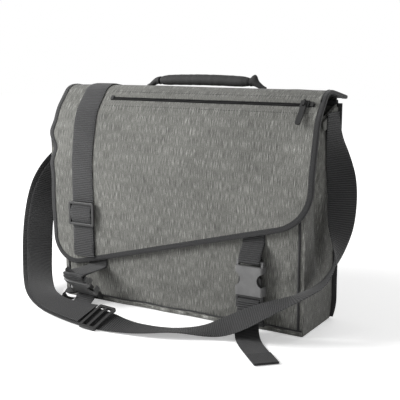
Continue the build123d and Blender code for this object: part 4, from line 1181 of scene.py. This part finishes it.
for name, side, middle in (("left", -1, 21.0), ("right", 1, 25.0)):
    z = np.linspace(251, 277, 24)[:, None]
    near = middle - 26 + np.clip((z - 262) / 15, 0, 1) * 32
    y = near + (43.5 - near) * np.linspace(0, 1, 30)[None]
    puff = 0.7 * np.sin(np.linspace(0, math.pi, 30))[None] * np.sin(np.linspace(0, math.pi, 24))[:, None]
    z = z + 0 * y
    outer = np.stack([side * (187.1 + puff), y, z], -1) * MM
    inner = np.stack([side * (185.0 + 0 * y), y, z], -1) * MM
    piece = slab(f"{name}_strap_patch", outer, inner, np.stack([y, z], -1) * MM)
    dress(piece, HEATHER, "bag_body", "heather_fabric", f"{name}_strap_anchor")
    y = np.linspace(middle - 18, middle + 18, 20)
    for row, z in enumerate((259.0, 266.0)):
        out = 190.6 if side < 0 else 189.8
        path = np.stack([side * out + 0 * y, y, z + 0 * y], -1) * MM
        stitch_row(f"{name}_strap_stitches_{row}", path, np.tile([float(side), 0, 0], (20, 1)), "bag_body",
                   slot="webbing", dash=3.0)
    x, walk = np.meshgrid(np.linspace(-13, 13, 20) + side * 96.0, np.linspace(6, 30, 18))
    dome = np.sin(np.linspace(0, math.pi, 18))[:, None] ** 0.4 * np.sin(np.linspace(0, math.pi, 20))[None] ** 0.4
    piece = slab(f"{name}_handle_patch", on_flap(x, walk, 0.8 + 0.7 * dome), on_flap(x, walk, 0.1 + 0 * x),
                 np.stack([x, walk], -1) * MM)
    dress(piece, HANDLE_CLOTH, "flap", "handle_fabric", f"{name}_handle_tab")
    for row, walk in enumerate((9.0, 27.0)):
        x = np.linspace(-10, 10, 12) + side * 96.0
        flap_stitches(f"{name}_handle_stitches_{row}", x, np.full(12, walk), 1.5, slot="handle_fabric")

# %% [markdown]
# ## Carry handle
# The grip is a short padded roll of black cloth. It is thickest in its middle, has a seam under it and
# a few cross wrinkles, and at each end the cloth narrows to a folded cord that is sewn to the flap.

# %% Carry handle
GRIP_Y = 30.0
GRIP_Z = (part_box("handle_grip")[0].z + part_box("handle_grip")[1].z) / 2 / MM
GRIP_HALF = 72.0
CORD_END = 92.0
PIVOT_Z = GRIP_Z - 9.5
share = np.linspace(-1, 1, 120)
x = share * GRIP_HALF
path = np.stack([x, GRIP_Y + 0 * x, GRIP_Z - 1.6 * share**2], -1) * MM
round_end = (1 - np.abs(share) ** 14) ** 0.5
fat = round_end * (0.93 + 0.07 * np.cos(share * math.pi / 2)) + 0.02
turn = np.linspace(0, 2 * math.pi, 33)[:-1]
dent = 1 - 0.10 * np.exp(-(((turn - 1.5 * math.pi) / 0.25) ** 2))
wrinkle = 1 + 0.035 * cloud(x[:, None] + 0 * turn, turn * 8 + 0 * x[:, None], (5, 14), 71)
wide = fat[:, None] * wrinkle * dent * np.cos(turn) * 8.6
tall = fat[:, None] * wrinkle * dent * np.sin(turn) * 7.4
across = np.tile([0.0, 1, 0], (len(x), 1))
up = np.tile([0.0, 0, 1], (len(x), 1))
grip = sweep("handle_roll", path, across, up, np.stack([wide, tall], -1) * MM, around=turn * 8 * MM)
dress(grip, HANDLE_CLOTH, "carry_handle", "handle_fabric", "handle_grip")
for name, side in (("left", -1), ("right", 1)):
    share = np.linspace(0, 1, 26)
    x = side * (GRIP_HALF - 1.5 + (CORD_END - GRIP_HALF + 1.5) * share)
    drop = ease(share, 0.1, 1.0)
    path = np.stack([x, GRIP_Y + 0 * x, GRIP_Z - 1.6 + (PIVOT_Z - GRIP_Z + 1.6) * drop], -1) * MM
    wide = (7.4 - 4.6 * share)[:, None] * np.cos(turn)
    tall = (5.6 - 3.3 * share)[:, None] * np.sin(turn)
    tip = 5.5 * np.exp(-(((share - 0.2) / 0.13) ** 2)) * (side > 0)
    tall = tall + tip[:, None] * np.clip(np.sin(turn), 0, 1) ** 3
    across = np.tile([0.0, 1, 0], (len(x), 1))
    ahead = unit(np.gradient(path, axis=0))
    piece = sweep(f"{name}_handle_end", path, across, unit(np.cross(ahead, across)) * side,
                  np.stack([wide, tall], -1) * MM, around=turn * 5 * MM)
    dress(piece, HANDLE_CLOTH, "carry_handle", "handle_fabric", f"{name}_handle_cord")

# %% [markdown]
# ## Finishes of the moulded and sewn small parts
# The buckles, the rings and the small patches keep the shapes they were designed with. Only their
# finish is set here.

# %% Small parts
FINISHES = {
    "base_board": BOARD, 
    "strap_ring": PLASTIC_BLACK,
    "strap_slider": PLASTIC_BLACK, "flap_triglide": PLASTIC_BLACK, 
    "zip_stops": ZIP_PLASTIC, "zip_slider": ZIP_PLASTIC, "zip_puller": ZIP_PLASTIC,
    # The sockets' grey is painted reflection of the sky off satin plastic.
    "left_socket": PLASTIC_GREY_PAINTED_REFLECTION, "right_socket": PLASTIC_GREY_PAINTED_REFLECTION,
    "left_plug": PLASTIC_BLACK, "right_plug": PLASTIC_BLACK,
    "left_latch_arm_inner": PLASTIC_BLACK, "left_latch_arm_outer": PLASTIC_BLACK,
    "right_latch_arm_inner": PLASTIC_BLACK, "right_latch_arm_outer": PLASTIC_BLACK,
}
for name, finish in FINISHES.items():
    held = nodes[name].data.materials
    held.clear()
    held.append(finish)
print("finished", len(FINISHES), "small parts")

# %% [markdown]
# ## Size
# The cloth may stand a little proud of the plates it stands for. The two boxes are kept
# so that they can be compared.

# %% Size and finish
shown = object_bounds()
{"cad": [list(corner) for corner in cad_box], "shown": [list(corner) for corner in shown]}
print("cad box", cad_box, "shown box", shown)
